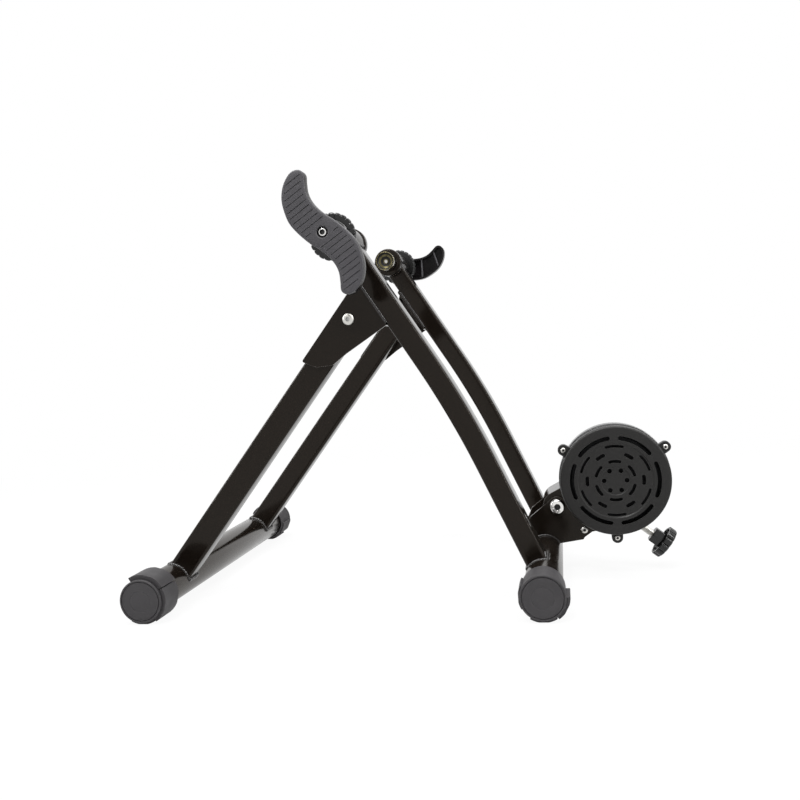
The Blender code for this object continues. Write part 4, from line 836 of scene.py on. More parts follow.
def fold_bracket(label, side):
    node = "fold_bracket_" + label
    middle = FOLD_PIVOT + Vector((0.0, side * LEG_OUT, 0.0))
    bracket = surface(node, prism(bracket_outline(), -LEG_HALF, LEG_HALF, middle))
    for web, depth in ((WEB_BACK, PLATE), (WEB_BACK * 2, WEB_DEPTH)):
        boolean(bracket, prism(bracket_hollow(web), -side * LEG_HALF * 2, side * (LEG_HALF - depth), middle))
    drill(bracket, FOLD_BORE, middle)
    round_edges(bracket, 0.0007, 3)
    top = -BRACKET_RISE + 0.003
    bottom = BRACKET_DROP - 0.002
    beads = []
    for edge in (-1, 1):
        points = []
        for step in range(100):
            x, z = leg_point(top + (bottom - top) * step / 99, LEG_FACE - 0.0009)
            points.append(middle + Vector((x, edge * (LEG_HALF - 0.0006), z)))
        beads.append(weld_bead(points, 0.0016, 11.0 + side + edge * 0.3, ripple=0.0036))
    welds("bracket_welds_" + label, node, *beads)


def cut_socket(screw, side, middle, outline, radius, top, depth, finish=SOCKET_SHADE):
    """A hexagon hole; its own faces get a dull, darker metal as painted shade in the recess."""
    bottom = top - depth
    boolean(screw, prism(outline, side * bottom, side * (top + PAST), flat(middle)))
    refinish(screw, finish, lambda face: off_axis(face, middle) < radius * 0.95
             and side * face.center.y > bottom - 0.0001)
    round_edges(screw, 0.0002)


def socket_screw(node, side, middle, head_out, head, shank, socket, finish=SOCKET_SHADE):
    """Screw with a domed round head and a hexagon socket; head, shank and socket are radii."""
    end, top = span(node, side)
    height = top - head_out
    profile = [(0.0, end), (shank - 0.0004, end), (shank, end + 0.0004), (shank, head_out),
               (head, head_out), (head, head_out + height * 0.28)]
    for step in range(1, 7):
        x, z = polar(1.0, 90 * step / 7)
        profile.append((socket + (head - socket) * x, head_out + height * (0.28 + 0.72 * z)))
    profile += [(socket, top), (0.0, top)]
    screw = surface(node, side_turned(side, profile, middle, SMALL))
    cut_socket(screw, side, middle, hexagon(socket * 0.92), socket, top, height * 0.7, finish)


def hex_nut(node, side, middle, bore):
    start, end = span(node, side)
    nut = surface(node, prism(hexagon(size(node).x / 2), side * start, side * end, flat(middle)))
    boolean(nut, rod(bore, side * (start - PAST), side * (end + PAST), flat(middle)))
    round_edges(nut, 0.0004)


def fold_fasteners(label, side):
    socket_screw("fold_bolt_" + label, side, FOLD_PIVOT, LEG_HALF + LEG_OUT + FIT,
                 head=0.0062, shank=0.003, socket=0.0024, finish=PALE_SOCKET_SHADE)
    hex_nut("fold_nut_" + label, side, FOLD_PIVOT, FOLD_BORE)


# Foot caps

PADS = {
    "front": ((-178, -136, -1), (-121, -59, 0), (-57, 29, 1), (31, 120, 2)),
    "rear": ((-208, -150, -1), (-122, -58, 0), (-56, 0, 1)),
}
CAP_SLEEVE = 0.0212
CAP_LENGTH = 0.037
CAP_FACE_RADIUS = 0.0219
CAP_FACE = 0.0035
PAD_STAND = 0.0244
PAD_STEP = 0.001
PAD_FLAT = 0.0045
PAD_START = 0.0035
PAD_LENGTH = 0.0330
PAD_SINK = 0.0015


def pad(side, start, end, level, foot):
    """One levelling pad: a ring sector with a flat in its middle."""
    radius = PAD_STAND + level * PAD_STEP
    half_flat = math.degrees(math.asin(PAD_FLAT / radius))
    middle = (start + end) / 2
    outline = arc(radius, start, middle - half_flat, 10) + arc(radius, middle + half_flat, end, 10) \
        + arc(CAP_SLEEVE - PAD_SINK, end, start, 20)
    inner = TUBE_HALF - CAP_LENGTH + PAD_START
    return prism([(x * -side, z) for x, z in outline], side * inner, side * (inner + PAD_LENGTH), foot)


def foot_caps(label, side):
    """The caps of both feet on one side: the same cap, with pads of their own."""
    inner = TUBE_HALF - CAP_LENGTH
    rim = CAP_FACE_RADIUS
    face = TUBE_HALF + CAP_FACE
    sunk = face - 0.0002
    profile = rounded([
        (TUBE_RADIUS + 0.0004, inner, 0.0004), (CAP_SLEEVE, inner, 0.0006),
        (CAP_SLEEVE, TUBE_HALF - 0.0002, 0.0002), (CAP_SLEEVE + 0.0003, TUBE_HALF + 0.0002, 0.0002),
        (rim, TUBE_HALF + 0.0009, 0.0003), (rim, face, 0.0008), (0.0202, face, 0.0002),
        (0.0201, face - 0.0012, 0.0001), (0.0194, face - 0.0012, 0.0001), (0.0192, sunk, 0.0001),
        (0.0110, sunk, 0.0001), (0.0109, face - 0.0004, 0.0001), (0.0103, face - 0.0004, 0.0001),
        (0.0102, sunk, 0.0001), (0.0, sunk, 0.0), (0.0, TUBE_HALF + 0.0004, 0.0),
        (TUBE_RADIUS + 0.0004, TUBE_HALF + 0.0004, 0.0),
    ])
    for end, foot in FEET:
        node = "%s_cap_%s" % (end, label)
        piece(node + "_surface", side_turned(side, profile, foot, FINE), node)
        sectors = [pad(side, start, stop, level, foot) for start, stop, level in PADS[end]]
        piece(node + "_pads", merge(*sectors), node, False, bevel=0.0005)


# Axle clamps

COLLAR_LENGTH = 0.010
CUP_WALL = 0.0013
CUP_BACK_BORE = 0.0052
SPINDLE_TIP = 0.0045
SPINDLE_NECK = 0.005


def axle_sleeve(label, side):
    node = "axle_sleeve_" + label
    inner, outer = span(node, side)
    collar = SLEEVE_RADIUS + COLLAR_STEP
    profile = rounded([
        (SPINDLE_BORE, inner, 0.0008), (collar, inner, 0.0018), (collar, inner + COLLAR_LENGTH, 0.0012),
        (SLEEVE_RADIUS, inner + COLLAR_LENGTH, 0.0), (SLEEVE_RADIUS, outer, 0.0010),
        (SPINDLE_BORE, outer, 0.0008),
    ])
    surface(node, side_turned(side, profile, AXLE, FINE))


def axle_cup(label, side):
    """Cup with a stepped bore, where the wheel's skewer end is held."""
    node = "axle_cup_" + label
    face, back = span(node, side)
    radius = size(node).z / 2
    mouth = radius - CUP_WALL
    body = rounded([
        (mouth, face, 0.0005), (radius, face, 0.0007), (radius, back, 0.0010), (CUP_BACK_BORE, back, 0.0003),
        (CUP_BACK_BORE, back - 0.004, 0.0), (mouth, face + 0.0035, 0.0),
    ])
    cup = surface(node, side_turned(side, body, AXLE))
    # the front lip takes the darker bore metal as painted shade, for the dark room it would reflect
    refinish(cup, CUP_BORE, lambda polygon: side * polygon.center.y < face + 0.0003)
    bore = mouth - 0.0001
    steps = (
        (bore, 0.0008), (bore, 0.0024), (bore - 0.0016, 0.0036), (bore - 0.0016, 0.0046),
        (bore - 0.0040, 0.0058), (bore - 0.0040, 0.0066), (0.0034, 0.0076), (0.0034, 0.0070),
        (0.0024, 0.0068), (0.0016, 0.0078), (0.0, 0.0078), (0.0, 0.0092), (bore, 0.0090),
    )
    profile = [(distance, face + depth) for distance, depth in steps]
    inside = piece("axle_cup_bore_" + label, side_turned(side, profile, AXLE), node, False, CUP_BORE)
    # the outermost step and a middle ring of the bore get dark metal as painted shade between olive steps
    refinish(inside, PAINTED_SHADE_METAL, lambda polygon: off_axis(polygon, AXLE) > 0.0088
             or 0.0045 < off_axis(polygon, AXLE) < 0.0064)
    refinish(inside, MATERIALS["zinc"], lambda polygon: off_axis(polygon, AXLE) < 0.0024)


def spindle(label, side):
    node = "spindle_" + label
    tip, end = span(node, side)
    shoulder = tip + SPINDLE_TIP
    shank = threaded_rod(side * shoulder, side * end, radius=0.008, depth=0.0009, lead=0.004, starts=2,
                         count=36)
    neck = rod(SPINDLE_NECK, side * tip, side * (shoulder + 0.001))
    surface(node, moved(merge(shank, neck), AXLE), sharp=50)


RING_LOBES = 22
RING_NOTCH = 0.0018
RING_HUB = 0.0155
LOBE_POINTS = 12


def lock_ring(label, side):
    node = "lock_ring_" + label
    start, end = span(node, side)
    radius = size(node).z / 2 - 0.0002
    count = RING_LOBES * LOBE_POINTS
    rim = notched(radius, RING_NOTCH, RING_LOBES, LOBE_POINTS)
    rear = notched(radius - 0.0008, RING_NOTCH, RING_LOBES, LOBE_POINTS)
    waist = circle(radius - 0.0030, count)
    hub = circle(RING_HUB, count)
    bore = circle(SPINDLE_BORE, count)
    middle_out = start + 0.0048
    stations = (
        (bore, start), (scaled(rear, 0.95), start), (rear, start + 0.0010), (rear, middle_out - 0.0010),
        (waist, middle_out - 0.0004), (waist, middle_out + 0.0004), (rim, middle_out + 0.0010),
        (rim, start + 0.0088), (scaled(rim, 0.97), start + 0.0097), (scaled(rim, 0.93), start + 0.0100),
        (scaled(hub, 1.04), start + 0.0100), (hub, start + 0.0106), (hub, end - 0.0006),
        (scaled(hub, 0.95), end), (bore, end),
    )
    surface(node, side_rings(side, stations, AXLE), sharp=40)


HANDLE_SIDE = (
    (-0.0148, 0.0552), (-0.0145, 0.0470), (-0.0136, 0.0385), (-0.0106, 0.0312), (-0.0052, 0.0240),
    (0.0025, 0.0172), (0.0120, 0.0105), (0.0230, 0.0005), (0.0318, -0.0105), (0.0364, -0.0235),
    (0.0378, -0.0340), (0.0363, -0.0435), (0.0330, -0.0510), (0.0284, -0.0568), (0.0234, -0.0593),
    (0.0184, -0.0590),
)
HANDLE_DEPTH = 0.012
HANDLE_WALL = 0.0026
HANDLE_PLATE = 0.0035
HANDLE_HUB = 0.0125
HANDLE_BORE = 0.0083
SCREW_BORE = 0.0028
SCREW_WELL = 0.0054
HANDLE_TURN = {NEAR: 0.0, FAR: -44.5}
RIB_SUNK = 0.002
RIB_HALF_LENGTH = 0.05
RIB_HALF_WIDTH = 0.001
RIBS = ((-0.048, 118), (-0.030, 135), (0.030, 135), (0.048, 118))
RIB_DRIFT = 0.30
GROOVE_PITCH = 0.0056
GROOVE_WIDTH = 0.0009
GROOVE_DEPTH = 0.0008
GROOVE_LEAN = 33.0
GROOVE_MARGIN = 0.0033
GROOVE_BOSS = 0.0112
GROOVES = 11
GROOVE_SHORTEST = 0.003


def spans_inside(outline, origin, direction):
    """Stretches of a line that lie inside an outline, as distances along the line."""
    crossings = []
    for point, following in with_next(outline):
        a = Vector(point) - origin
        b = Vector(following) - origin
        side_a = direction.x * a.y - direction.y * a.x
        side_b = direction.x * b.y - direction.y * b.x
        if (side_a > 0) != (side_b > 0):
            t = side_a / (side_a - side_b)
            crossings.append(a.lerp(b, t).dot(direction))
    crossings.sort()
    return list(zip(crossings[::2], crossings[1::2]))


def groove_spans():
    """Where the finger grooves run, before the handle is turned: pairs of end points."""
    outline = inset_outline(handle_curve(4), GROOVE_MARGIN)
    direction = Vector(polar(1.0, GROOVE_LEAN))
    normal = Vector((-direction.y, direction.x))
    found = []
    for number in range(-GROOVES, GROOVES + 1):
        offset = number * GROOVE_PITCH
        origin = normal * offset
        boss = math.sqrt(max(GROOVE_BOSS ** 2 - offset ** 2, 0.0))
        for start, end in spans_inside(outline, origin, direction):
            pieces = [(start, min(end, -boss)), (max(start, boss), end)] if boss else [(start, end)]
            for first, last in pieces:
                if last - first > GROOVE_SHORTEST:
                    found.append((origin + direction * first, origin + direction * last))
    return found


def handle_curve(parts):
    half = list(HANDLE_SIDE)
    return smooth_closed(half + scaled(half, -1), parts)


def handle_turned(points, side):
    return turned_outline([(x * -side, z) for x, z in points], HANDLE_TURN[side])


def groove_cutter(side, face):
    """Round-ended slots, one for each groove."""
    slots = []
    left = GROOVE_LEAN + 90
    for start, end in groove_spans():
        outline = arc(GROOVE_WIDTH / 2, left, left - 180, 4, end) \
            + arc(GROOVE_WIDTH / 2, left + 180, left, 4, start)
        outline = handle_turned(outline, side)
        slots.append(prism(outline, side * (face - GROOVE_DEPTH), side * (face + 0.001), AXLE))
    return merge(*slots)


def handle_ribs(side, back, face):
    slabs = []
    for along, lean in RIBS:
        slab = rectangle(-RIB_HALF_WIDTH, RIB_HALF_WIDTH, -RIB_HALF_LENGTH, RIB_HALF_LENGTH)
        slab = [(x - RIB_DRIFT * along, z + along) for x, z in turned_outline(slab, lean)]
        slab = handle_turned(slab, side)
        slabs.append(prism(slab, side * (back + RIB_SUNK), side * (face + 0.001), AXLE))
    return merge(*slabs)


def clamp_handle(label, side):
    """S-shaped handle: rounded face with finger grooves, hollow ribbed back and a hub."""
    node = "clamp_handle_" + label
    hub_out, face = span(node, side)
    back = face - HANDLE_DEPTH
    outline = handle_turned(handle_curve(8), side)
    edge = ((0.0003, back), (0.0, back + 0.0003), (0.0, face - 0.0016), (0.00025, face - 0.0008),
            (0.0008, face - 0.00025), (0.0016, face))
    stations = [(inset_outline(outline, inset), out) for inset, out in edge]
    handle = piece(node + "_surface", side_rings(side, stations, AXLE, False), node)
    inside = inset_outline(outline, HANDLE_WALL)
    hollow = prism(inside, side * (back - PAST), side * (face - HANDLE_PLATE), AXLE)
    boolean(handle, carved(hollow, handle_ribs(side, back, face)))
    hub = soft_tube(HANDLE_HUB, 0.0, hub_out, face - 0.002, 0.0006)
    boolean(handle, side_turned(side, hub, AXLE, SMALL), "UNION")
    boolean(handle, groove_cutter(side, face))
    bore = [
        (0.0, hub_out - PAST), (HANDLE_BORE, hub_out - PAST), (HANDLE_BORE, face - 0.0065),
        (SCREW_BORE, face - 0.0065), (SCREW_BORE, face - 0.0045), (SCREW_WELL, face - 0.0045),
        (SCREW_WELL, face - 0.0008), (SCREW_WELL + 0.0012, face + 0.0002),
        (SCREW_WELL + 0.0012, face + PAST), (0.0, face + PAST),
    ]
    boolean(handle, side_turned(side, bore, AXLE, SMALL))

    def in_the_back(polygon):
        out = side * polygon.center.y
        # the ribs' back faces keep the paler face plastic, as a painted highlight on the rib edges
        painted_rib_highlight = abs(out - (back + RIB_SUNK)) < 0.0002 and abs(polygon.normal.y) > 0.9
        return out < face - 0.0030 and not painted_rib_highlight

    refinish(handle, HANDLE_BACK, in_the_back)


def handle_screw(label, side):
    node = "handle_screw_" + label
    head_out = span(node, side)[1] - 0.0035
    socket_screw(node, side, AXLE, head_out, head=0.0044, shank=0.0025, socket=0.0026)


# Resistance unit's bracket, arm and roller

CHEEK_OUT = span("unit_cheek_near", NEAR)[1]
CHEEK_BOSS = 0.0105
CHEEK_TOP = 0.0112
PIN_RADIUS = 0.005
PIVOT_HEAD = 0.0087
PIVOT_SOCKET = 0.0036
SPACER_RADIUS = 0.005
ROLLER_BORE = 0.0113
SHAFT_BORE = 0.0044
ROLLER_LINES = 44
ROLLER_LINE_DEPTH = 0.00012


def cheek_outline():
    pivot = ARM_PIVOT - REAR_FOOT
    nut = TENSION_NUT - REAR_FOOT
    spacer = SPACER - REAR_FOOT
    lower = [(-0.0014, -0.0111), (0.0, -0.0086), (0.0087, -0.0025)]
    left = [(-0.0306, -0.0111), (-0.0375, -0.0260)]
    return arc(TUBE_RADIUS + FIT, 152, 30, 30) \
        + [(spacer.x + x, spacer.z + z) for x, z in lower] \
        + arc(CHEEK_BOSS, -60, 105, 20, (nut.x, nut.z)) + [(pivot.x + 0.024, pivot.z - 0.004)] \
        + arc(CHEEK_TOP, 60, 148, 16, (pivot.x, pivot.z)) \
        + [(pivot.x + x, pivot.z + z) for x, z in left]


def unit_cheek(label, side):
    node = "unit_cheek_" + label
    low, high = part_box(node)
    cheek = surface(node, prism(cheek_outline(), low.y, high.y, REAR_FOOT))
    for place, radius in ((ARM_PIVOT, PIVOT_BORE), (SPACER, BRACKET_BORE), (TENSION_NUT, PIVOT_BORE)):
        boolean(cheek, rod(radius, low.y - 0.01, high.y + 0.01, flat(place)))
    round_edges(cheek, 0.0005)
    beads = []
    for plane in (low.y - 0.0004, high.y + 0.0004):
        points = [REAR_FOOT + Vector((x, plane, z)) for x, z in arc(TUBE_RADIUS + 0.0004, 150, 32, 120)]
        beads.append(weld_bead(points, 0.0014, 17.0 + plane * 100))
    welds("unit_cheek_welds_" + label, node, *beads)


def unit_fasteners():
    head_out = CHEEK_OUT + FIT
    end, outer = span("arm_pivot_bolt", NEAR)
    profile = rounded([
        (0.0, end, 0.0), (PIN_RADIUS, end, 0.0006), (PIN_RADIUS, head_out, 0.0),
        (PIVOT_HEAD, head_out, 0.0003), (PIVOT_HEAD, head_out + 0.0016, 0.0005),
        (PIVOT_HEAD - 0.0015, outer, 0.0010), (PIVOT_SOCKET, outer, 0.0), (0.0, outer, 0.0),
    ])
    bolt = surface("arm_pivot_bolt", side_turned(NEAR, profile, ARM_PIVOT))
    cut_socket(bolt, NEAR, ARM_PIVOT, hexagon(PIVOT_SOCKET, 20), PIVOT_SOCKET, outer, 0.0032)
    hex_nut("arm_pivot_nut", FAR, ARM_PIVOT, PIVOT_BORE)
    socket_screw("bracket_bolt", NEAR, SPACER, head_out, head=0.0040, shank=0.0025, socket=0.0017)
    hex_nut("bracket_nut", FAR, SPACER, BRACKET_BORE)
    low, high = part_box("bracket_spacer")
    spacer = soft_tube(SPACER_RADIUS, BRACKET_BORE, low.y, high.y, 0.0004)
    surface("bracket_spacer", moved(turned(spacer, SMALL), SPACER))


def roller_arm():
    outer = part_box("roller_arm")[1].y
    heel = 0.016
    nose = 0.017
    web_end = 0.054
    inside = heel - ARM_PLATE
    beyond = 0.03
    outline = arc(heel, 90, 270, 32) + [(0.02, -0.014)] + arc(nose, -100, 80, 32, (ARM_LENGTH, 0.0)) \
        + [(web_end + 0.005, heel - 0.004), (web_end, heel)]
    hollow = arc(inside, 90, 215, 24) \
        + [(-0.010, -beyond), (ARM_LENGTH + beyond, -beyond), (ARM_LENGTH + beyond, beyond)] \
        + [(web_end, beyond), (web_end, inside)]
    arm = surface("roller_arm", transformed(prism(outline, -outer, outer), ON_ARM))
    boolean(arm, transformed(prism(hollow, ARM_PLATE - outer, outer - ARM_PLATE), ON_ARM))
    drill(arm, PIVOT_BORE, ARM_PIVOT)
    drill(arm, ROLLER_BORE, ROLLER, ROUND)
    round_edges(arm, 0.0006)


def drive_roller():
    """Steel roller with fine turned rings and chamfered ends."""
    radius = size("drive_roller").x / 2
    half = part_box("drive_roller")[1].y
    edge = [(radius - 0.0003, half - 0.0010), (radius - 0.0012, half), (SHAFT_BORE, half)]
    profile = [(distance, -y) for distance, y in reversed(edge)]
    for index in range(ROLLER_LINES + 1):
        y = -half + 0.0020 + (2 * half - 0.0040) * index / ROLLER_LINES
        profile.append((radius - (ROLLER_LINE_DEPTH if index % 2 else 0.0), y))
    surface("drive_roller", moved(turned(profile + edge, FINE), ROLLER), sharp=60)


# Tension screw, in heights along its own axis

KNOB_RADIUS = 0.0183
KNOB_NOTCH = 0.0022
KNOB_LOBES = 12
KNOB_PLATE = 0.0095
KNOB_HUB = 0.0084
KNOB_CORNER = 0.0095
SHOE_RADIUS = 0.0065


def along_screw(node):
    """Lowest and highest distance of a node's mesh along the tension screw."""
    inverse = ON_SCREW.inverted()
    heights = [(inverse @ vert.co).z for vert in frame["nodes"][node].data.vertices]
    return min(heights), max(heights)


def tension_nut():
    low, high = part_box("tension_nut")
    radius = size("tension_nut").x / 2
    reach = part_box("unit_cheek_far")[0].y - FIT
    profile = rounded([
        (0.0, low.y, 0.0), (PIN_RADIUS, low.y, 0.0006), (PIN_RADIUS, -reach, 0.0), (radius, -reach, 0.0008),
        (radius, reach, 0.0008), (PIN_RADIUS, reach, 0.0), (PIN_RADIUS, high.y, 0.0006), (0.0, high.y, 0.0),
    ], 3)
    nut = surface("tension_nut", moved(turned(profile), TENSION_NUT))
    boolean(nut, transformed(rod(TENSION_BORE, -0.02, 0.02, axis="Z"), ON_SCREW))
    round_edges(nut, 0.0003)


def tension_screw():
    low, high = along_screw("tension_rod")
    upright = Matrix.Rotation(math.radians(90), 4, "X")
    shank = threaded_rod(-high, -low, radius=0.004, depth=0.0005, lead=0.00125, starts=1, count=28,
                         per_pitch=6)
    surface("tension_rod", transformed(transformed(shank, upright), ON_SCREW), sharp=50)
    low, high = along_screw("tension_shoe")
    profile = rounded([
        (0.0, high, 0.0), (0.0036, high, 0.0010), (SHOE_RADIUS, high - 0.0028, 0.0010),
        (SHOE_RADIUS, low, 0.0005), (TENSION_BORE, low, 0.0), (TENSION_BORE, low + 0.0035, 0.0),
        (0.0, low + 0.0035, 0.0),
    ])
    surface("tension_shoe", transformed(turned(profile, SMALL, "Z"), ON_SCREW))


def hexagonal(flat_radius, corner_radius, count):
    """Hexagon with its corners cut round, as evenly turned points."""
    points = []
    for index in range(count):
        degrees = 360 * index / count
        lean = math.radians((degrees + 30.0) % 60.0 - 30.0)
        points.append(polar(min(flat_radius / math.cos(lean), corner_radius), degrees))
    return points


def tension_knob():
    """Knob with a thick notched flange, hollow below its rim, and a six-sided hub towards the nut."""
    low, high = along_screw("tension_knob")
    count = KNOB_LOBES * LOBE_POINTS
    rim = notched(KNOB_RADIUS, KNOB_NOTCH, KNOB_LOBES, LOBE_POINTS)
    hub = hexagonal(KNOB_HUB, KNOB_CORNER, count)
    bore = circle(TENSION_BORE, count)
    flange = low + KNOB_PLATE
    stations = (
        (circle(0.0050, count), low + 0.0004), (circle(0.0080, count), low), (scaled(rim, 0.86), low),
        (scaled(rim, 0.97), low + 0.0010), (rim, low + 0.0022), (rim, flange - 0.0006),
        (scaled(rim, 0.97), flange), (scaled(rim, 0.86), flange), (scaled(rim, 0.82), flange - 0.0022),
        (scaled(hub, 1.12), flange - 0.0026), (hub, flange - 0.0018), (hub, high - 0.0010),
        (scaled(hub, 0.93), high), (bore, high), (bore, high - 0.004),
    )
    loops = [[(x, y, height) for x, y in outline] for outline, height in stations]
    surface("tension_knob", transformed(rings(loops, False), ON_SCREW), sharp=42, bevel=0.00025)


# Resistance unit's housing

EAR_CIRCLE = 0.0635
EAR_RADIUS = 0.0060
EAR_THICKNESS = 0.0050
EAR_ROOT = 0.0560
EAR_BORE = 0.0022
EAR_ANGLES = (32, 148, 270)
SPLIT_OUT = 0.0573
SHELL_RADIUS = 0.0600
SHELL_BACK = 0.0340
SHELL_BORE = 0.0114
SHELL_BOSS = 0.0168
COVER_RADIUS = 0.0588
HOUSING_WALL = 0.0024
HOUSING_FLOOR = 0.0026
DISH_RADIUS = 0.0405
VENTS = (
    (0.0460, 0.0046, 24.0, 0.0), (0.0372, 0.0029, 15.0, 30.0), (0.0298, 0.0040, 9.5, 0.0),
    (0.0208, 0.0034, 18.0, 30.0),
)
VENT_REPEATS = 6
VENT_HOLE_CIRCLE = 0.0120
VENT_HOLE_RADIUS = 0.0026
SHELL_RIBS = 12


def ears(node, start_out, end_out):
    """The three screw ears of one shell, each with a hole."""
    half = [(EAR_ROOT, EAR_RADIUS * 1.35), (EAR_CIRCLE - 0.004, EAR_RADIUS * 1.02)]
    ear = [(x, -z) for x, z in half] + arc(EAR_RADIUS, -80, 80, 20, (EAR_CIRCLE, 0.0)) + half[::-1]
    shapes = [prism(turned_outline(ear, degrees), -end_out, -start_out, ROLLER) for degrees in EAR_ANGLES]
    holes = [rod(EAR_BORE, -(end_out + PAST), -(start_out - PAST), around(ROLLER, EAR_CIRCLE, degrees))
             for degrees in EAR_ANGLES]
    made = piece(node + "_ears", merge(*shapes), node, False)
    boolean(made, merge(*holes))
    round_edges(made, 0.0006, 3)


def slot_outline(radius, width, half_angle, degrees):
    """A curved slot with round ends."""
    steps = max(3, round(half_angle / 2))
    first = degrees - half_angle
    last = degrees + half_angle
    return arc(radius + width / 2, first, last, steps) \
        + arc(width / 2, last, last + 180, 6, polar(radius, last))[1:-1] \
        + arc(radius - width / 2, last, first, steps) \
        + arc(width / 2, first + 180, first + 360, 6, polar(radius, first))[1:-1]


def vent_cutter(face):
    start = -(face + PAST)
    end = -(face - HOUSING_FLOOR - 0.004)
    shapes = []
    for radius, width, half_angle, first in VENTS:
        shrink = math.degrees(width / 2 / radius) * 0.7
        for repeat in range(VENT_REPEATS):
            outline = slot_outline(radius, width, half_angle - shrink, first + 60 * repeat)
            shapes.append(prism(outline, start, end, ROLLER))
    for repeat in range(VENT_REPEATS):
        place = around(ROLLER, VENT_HOLE_CIRCLE, 60 * repeat)
        shapes.append(rod(VENT_HOLE_RADIUS, start, end, place, 20))
    return merge(*shapes)


def vented_cover():
    """Cover with a flat rim, a shallow dish in the middle and rings of vents."""
    face = span("vented_cover", NEAR)[1]
    split = SPLIT_OUT + FIT / 2
    wall = COVER_RADIUS - HOUSING_WALL
    floor_out = face - HOUSING_FLOOR - 0.0010
    profile = rounded([
        (0.0, face - 0.0014, 0.0), (0.0150, face - 0.0014, 0.0003), (0.0160, face - 0.0009, 0.0003),
        (DISH_RADIUS - 0.0012, face - 0.0007, 0.0003), (DISH_RADIUS, face, 0.0003),
        (COVER_RADIUS, face, 0.0024), (COVER_RADIUS, split, 0.0004), (wall, split, 0.0004),
        (wall, floor_out, 0.0008), (0.0, floor_out, 0.0),
    ], 6)
    cover = surface("vented_cover", side_turned(NEAR, profile, ROLLER, FINE))
    boolean(cover, vent_cutter(face))
    round_edges(cover, 0.00035, 2, 50.0)
    ears("vented_cover", split, split + EAR_THICKNESS)


def back_shell():
    boss_end = span("back_shell", NEAR)[0]
    wall = SHELL_RADIUS - HOUSING_WALL
    lip = SHELL_RADIUS - 0.0006
    floor_out = SHELL_BACK + HOUSING_FLOOR
    split = SPLIT_OUT - FIT / 2
    profile = rounded([
        (SHELL_BORE, boss_end, 0.0003), (SHELL_BOSS, boss_end, 0.0005), (SHELL_BOSS, SHELL_BACK, 0.002),
        (SHELL_RADIUS, SHELL_BACK, 0.0040), (SHELL_RADIUS, split - 0.004, 0.0002),
        (lip, split - 0.0036, 0.0002), (lip, split, 0.0004), (wall, split, 0.0004), (wall, floor_out, 0.001),
        (SHELL_BORE, floor_out, 0.0003),
    ], 6)
    surface("back_shell", side_turned(NEAR, profile, ROLLER, FINE))
    ears("back_shell", split - EAR_THICKNESS, split)
    rib = rectangle(SHELL_BOSS + 0.0007, EAR_ROOT, -0.0007, 0.0007)
    ribs = []
    for number in range(SHELL_RIBS):
        outline = turned_outline(rib, 360 * number / SHELL_RIBS)
        ribs.append(prism(outline, -(SHELL_BACK - 0.0012), -(SHELL_BACK + 0.001), ROLLER))
    piece("back_shell_ribs", merge(*ribs), "back_shell", False, bevel=0.0003)


def cover_screws():
    head_out = SPLIT_OUT + FIT / 2 + EAR_THICKNESS + FIT
    for number, degrees in enumerate(EAR_ANGLES, 1):
        place = around(ROLLER, EAR_CIRCLE, degrees)
        socket_screw("cover_screw_%d" % number, NEAR, place, head_out, head=0.0029, shank=0.0019,
                     socket=0.0014)


def finish_kept_nodes():
    """The frame's own pieces that stay get their finish; the pieces inside the housing get a dark metal
    instead, as painted shade.
    """
    for name, obj in frame["nodes"].items():
        if obj.hide_render:
            continue
        obj.data.materials.clear()
        painted_shade_inside = name in ("magnet_ring", "rotor_disc", "flywheel", "shaft_nut")
        obj.data.materials.append(PAINTED_SHADE_METAL if painted_shade_inside else MATERIALS[SLOT_OF[name]])


# Camera, floor and light

LENS = 42.25
SENSOR = 36.0
CAMERA_BACK = 1.09509
CAMERA_HEIGHT = 0.25978
CAMERA_FROM_REAR_FOOT = 0.02641
YAW = 9.84
PITCH = 2.98
ROLL = -3.10
FLOOR_HALF_WIDTH = 6.0
FLOOR_FRONT = -0.80
FLOOR_BACK = 2.2
FLOOR_CURVE = 1.2
FLOOR_TOP = 5.0


def camera():
    data = bpy.data.cameras.new("camera")
    data.lens = LENS
    data.sensor_width = SENSOR
    data.clip_start = 0.01
    obj = added("camera", data)
    matrix = Matrix.Translation((REAR_FOOT.x + CAMERA_FROM_REAR_FOOT, -CAMERA_BACK, CAMERA_HEIGHT))
    for degrees, axis in ((YAW, "Z"), (90 - PITCH, "X"), (ROLL, "Z")):
        matrix = matrix @ Matrix.Rotation(math.radians(degrees), 4, axis)
    obj.matrix_world = matrix
    bpy.context.scene.camera = obj


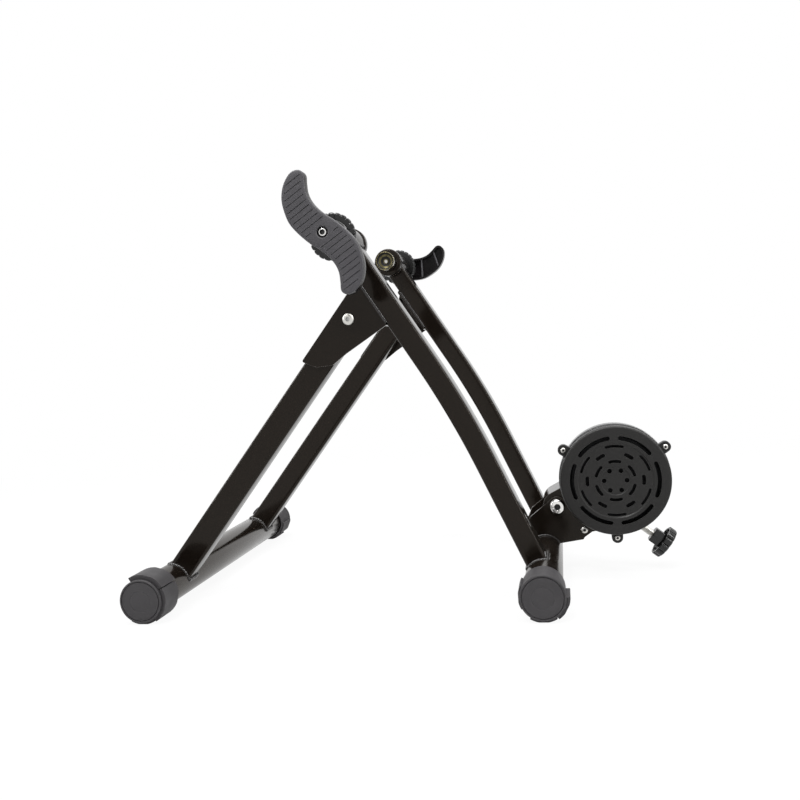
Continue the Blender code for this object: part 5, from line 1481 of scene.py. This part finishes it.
def floor():
    """White paper floor that curves up far behind; it keeps a soft contact shadow."""
    profile = [(FLOOR_FRONT, 0.0), (FLOOR_BACK, 0.0)]
    profile += arc(FLOOR_CURVE, -90, 0, 16, (FLOOR_BACK, FLOOR_CURVE))[1:]
    profile.append((FLOOR_BACK + FLOOR_CURVE, FLOOR_TOP))
    bm = bmesh.new()
    left, right = ([bm.verts.new((side * FLOOR_HALF_WIDTH, y, z)) for y, z in profile] for side in (-1, 1))
    for index in range(len(profile) - 1):
        bm.faces.new((left[index], right[index], right[index + 1], left[index + 1]))
    obj = mesh_object("floor", bm)
    obj.data.shade_smooth()
    made = Shader("paper_floor", (0.92, 0.92, 0.92), 0.85)
    made.roughen(made.noise(6.0), 0.78, 0.92)
    away = combined(made.tree, "ShaderNodeVectorMath", "LENGTH", made.coordinates)
    made.shine(1.0, made.ramp(away, 0.4, 1.5, 0.93, 1.0))
    obj.data.materials.append(made.material)


def area_light(name, place, target, width, height, power):
    data = bpy.data.lights.new(name, "AREA")
    data.shape = "RECTANGLE"
    data.size = width
    data.size_y = height
    data.energy = power
    obj = added(name, data)
    obj.location = place
    direction = Vector(target) - Vector(place)
    obj.rotation_euler = direction.to_track_quat("-Z", "Y").to_euler()


def world():
    """White for the camera, gloss and glass, and a dim room for everything else."""
    made = bpy.data.worlds.new("studio")
    bpy.context.scene.world = made
    made.use_nodes = True
    tree = made.node_tree
    background = tree.nodes["Background"]
    level = tree.nodes.new("ShaderNodeMapRange")
    tree.links.new(background_rays(tree), level.inputs["Value"])
    level.inputs["To Min"].default_value = 0.14
    level.inputs["To Max"].default_value = 1.0
    background.inputs["Color"].default_value = (1.0, 1.0, 1.0, 1.0)
    tree.links.new(level.outputs["Result"], background.inputs["Strength"])


def lights():
    area_light("top_soft", (0.0, 0.1, 1.9), (0.0, 0.0, 0.15), 2.0, 2.0, 38.0)
    area_light("front_soft", (-0.5, -1.9, 2.3), (0.0, 0.0, 0.15), 0.6, 0.6, 38.0)
    area_light("right_strip", (1.3, -0.5, 1.1), (0.1, 0.0, 0.2), 0.12, 1.5, 14.0)
    area_light("left_strip", (-1.3, -0.3, 1.2), (0.0, 0.0, 0.25), 0.12, 1.5, 14.0)


def build():
    for end, foot in FEET:
        foot_tube(end, foot)
    for label, side in SIDES:
        for make in (rear_leg, front_leg, fold_bracket, fold_fasteners, foot_caps, axle_sleeve, axle_cup,
                     spindle, lock_ring, clamp_handle, handle_screw, unit_cheek):
            make(label, side)
    for make in (unit_fasteners, roller_arm, drive_roller, tension_nut, tension_screw, tension_knob,
                 vented_cover, back_shell, cover_screws, finish_kept_nodes, camera, floor, world, lights):
        make()


build()
bpy.context.scene.view_settings.view_transform = "Standard"
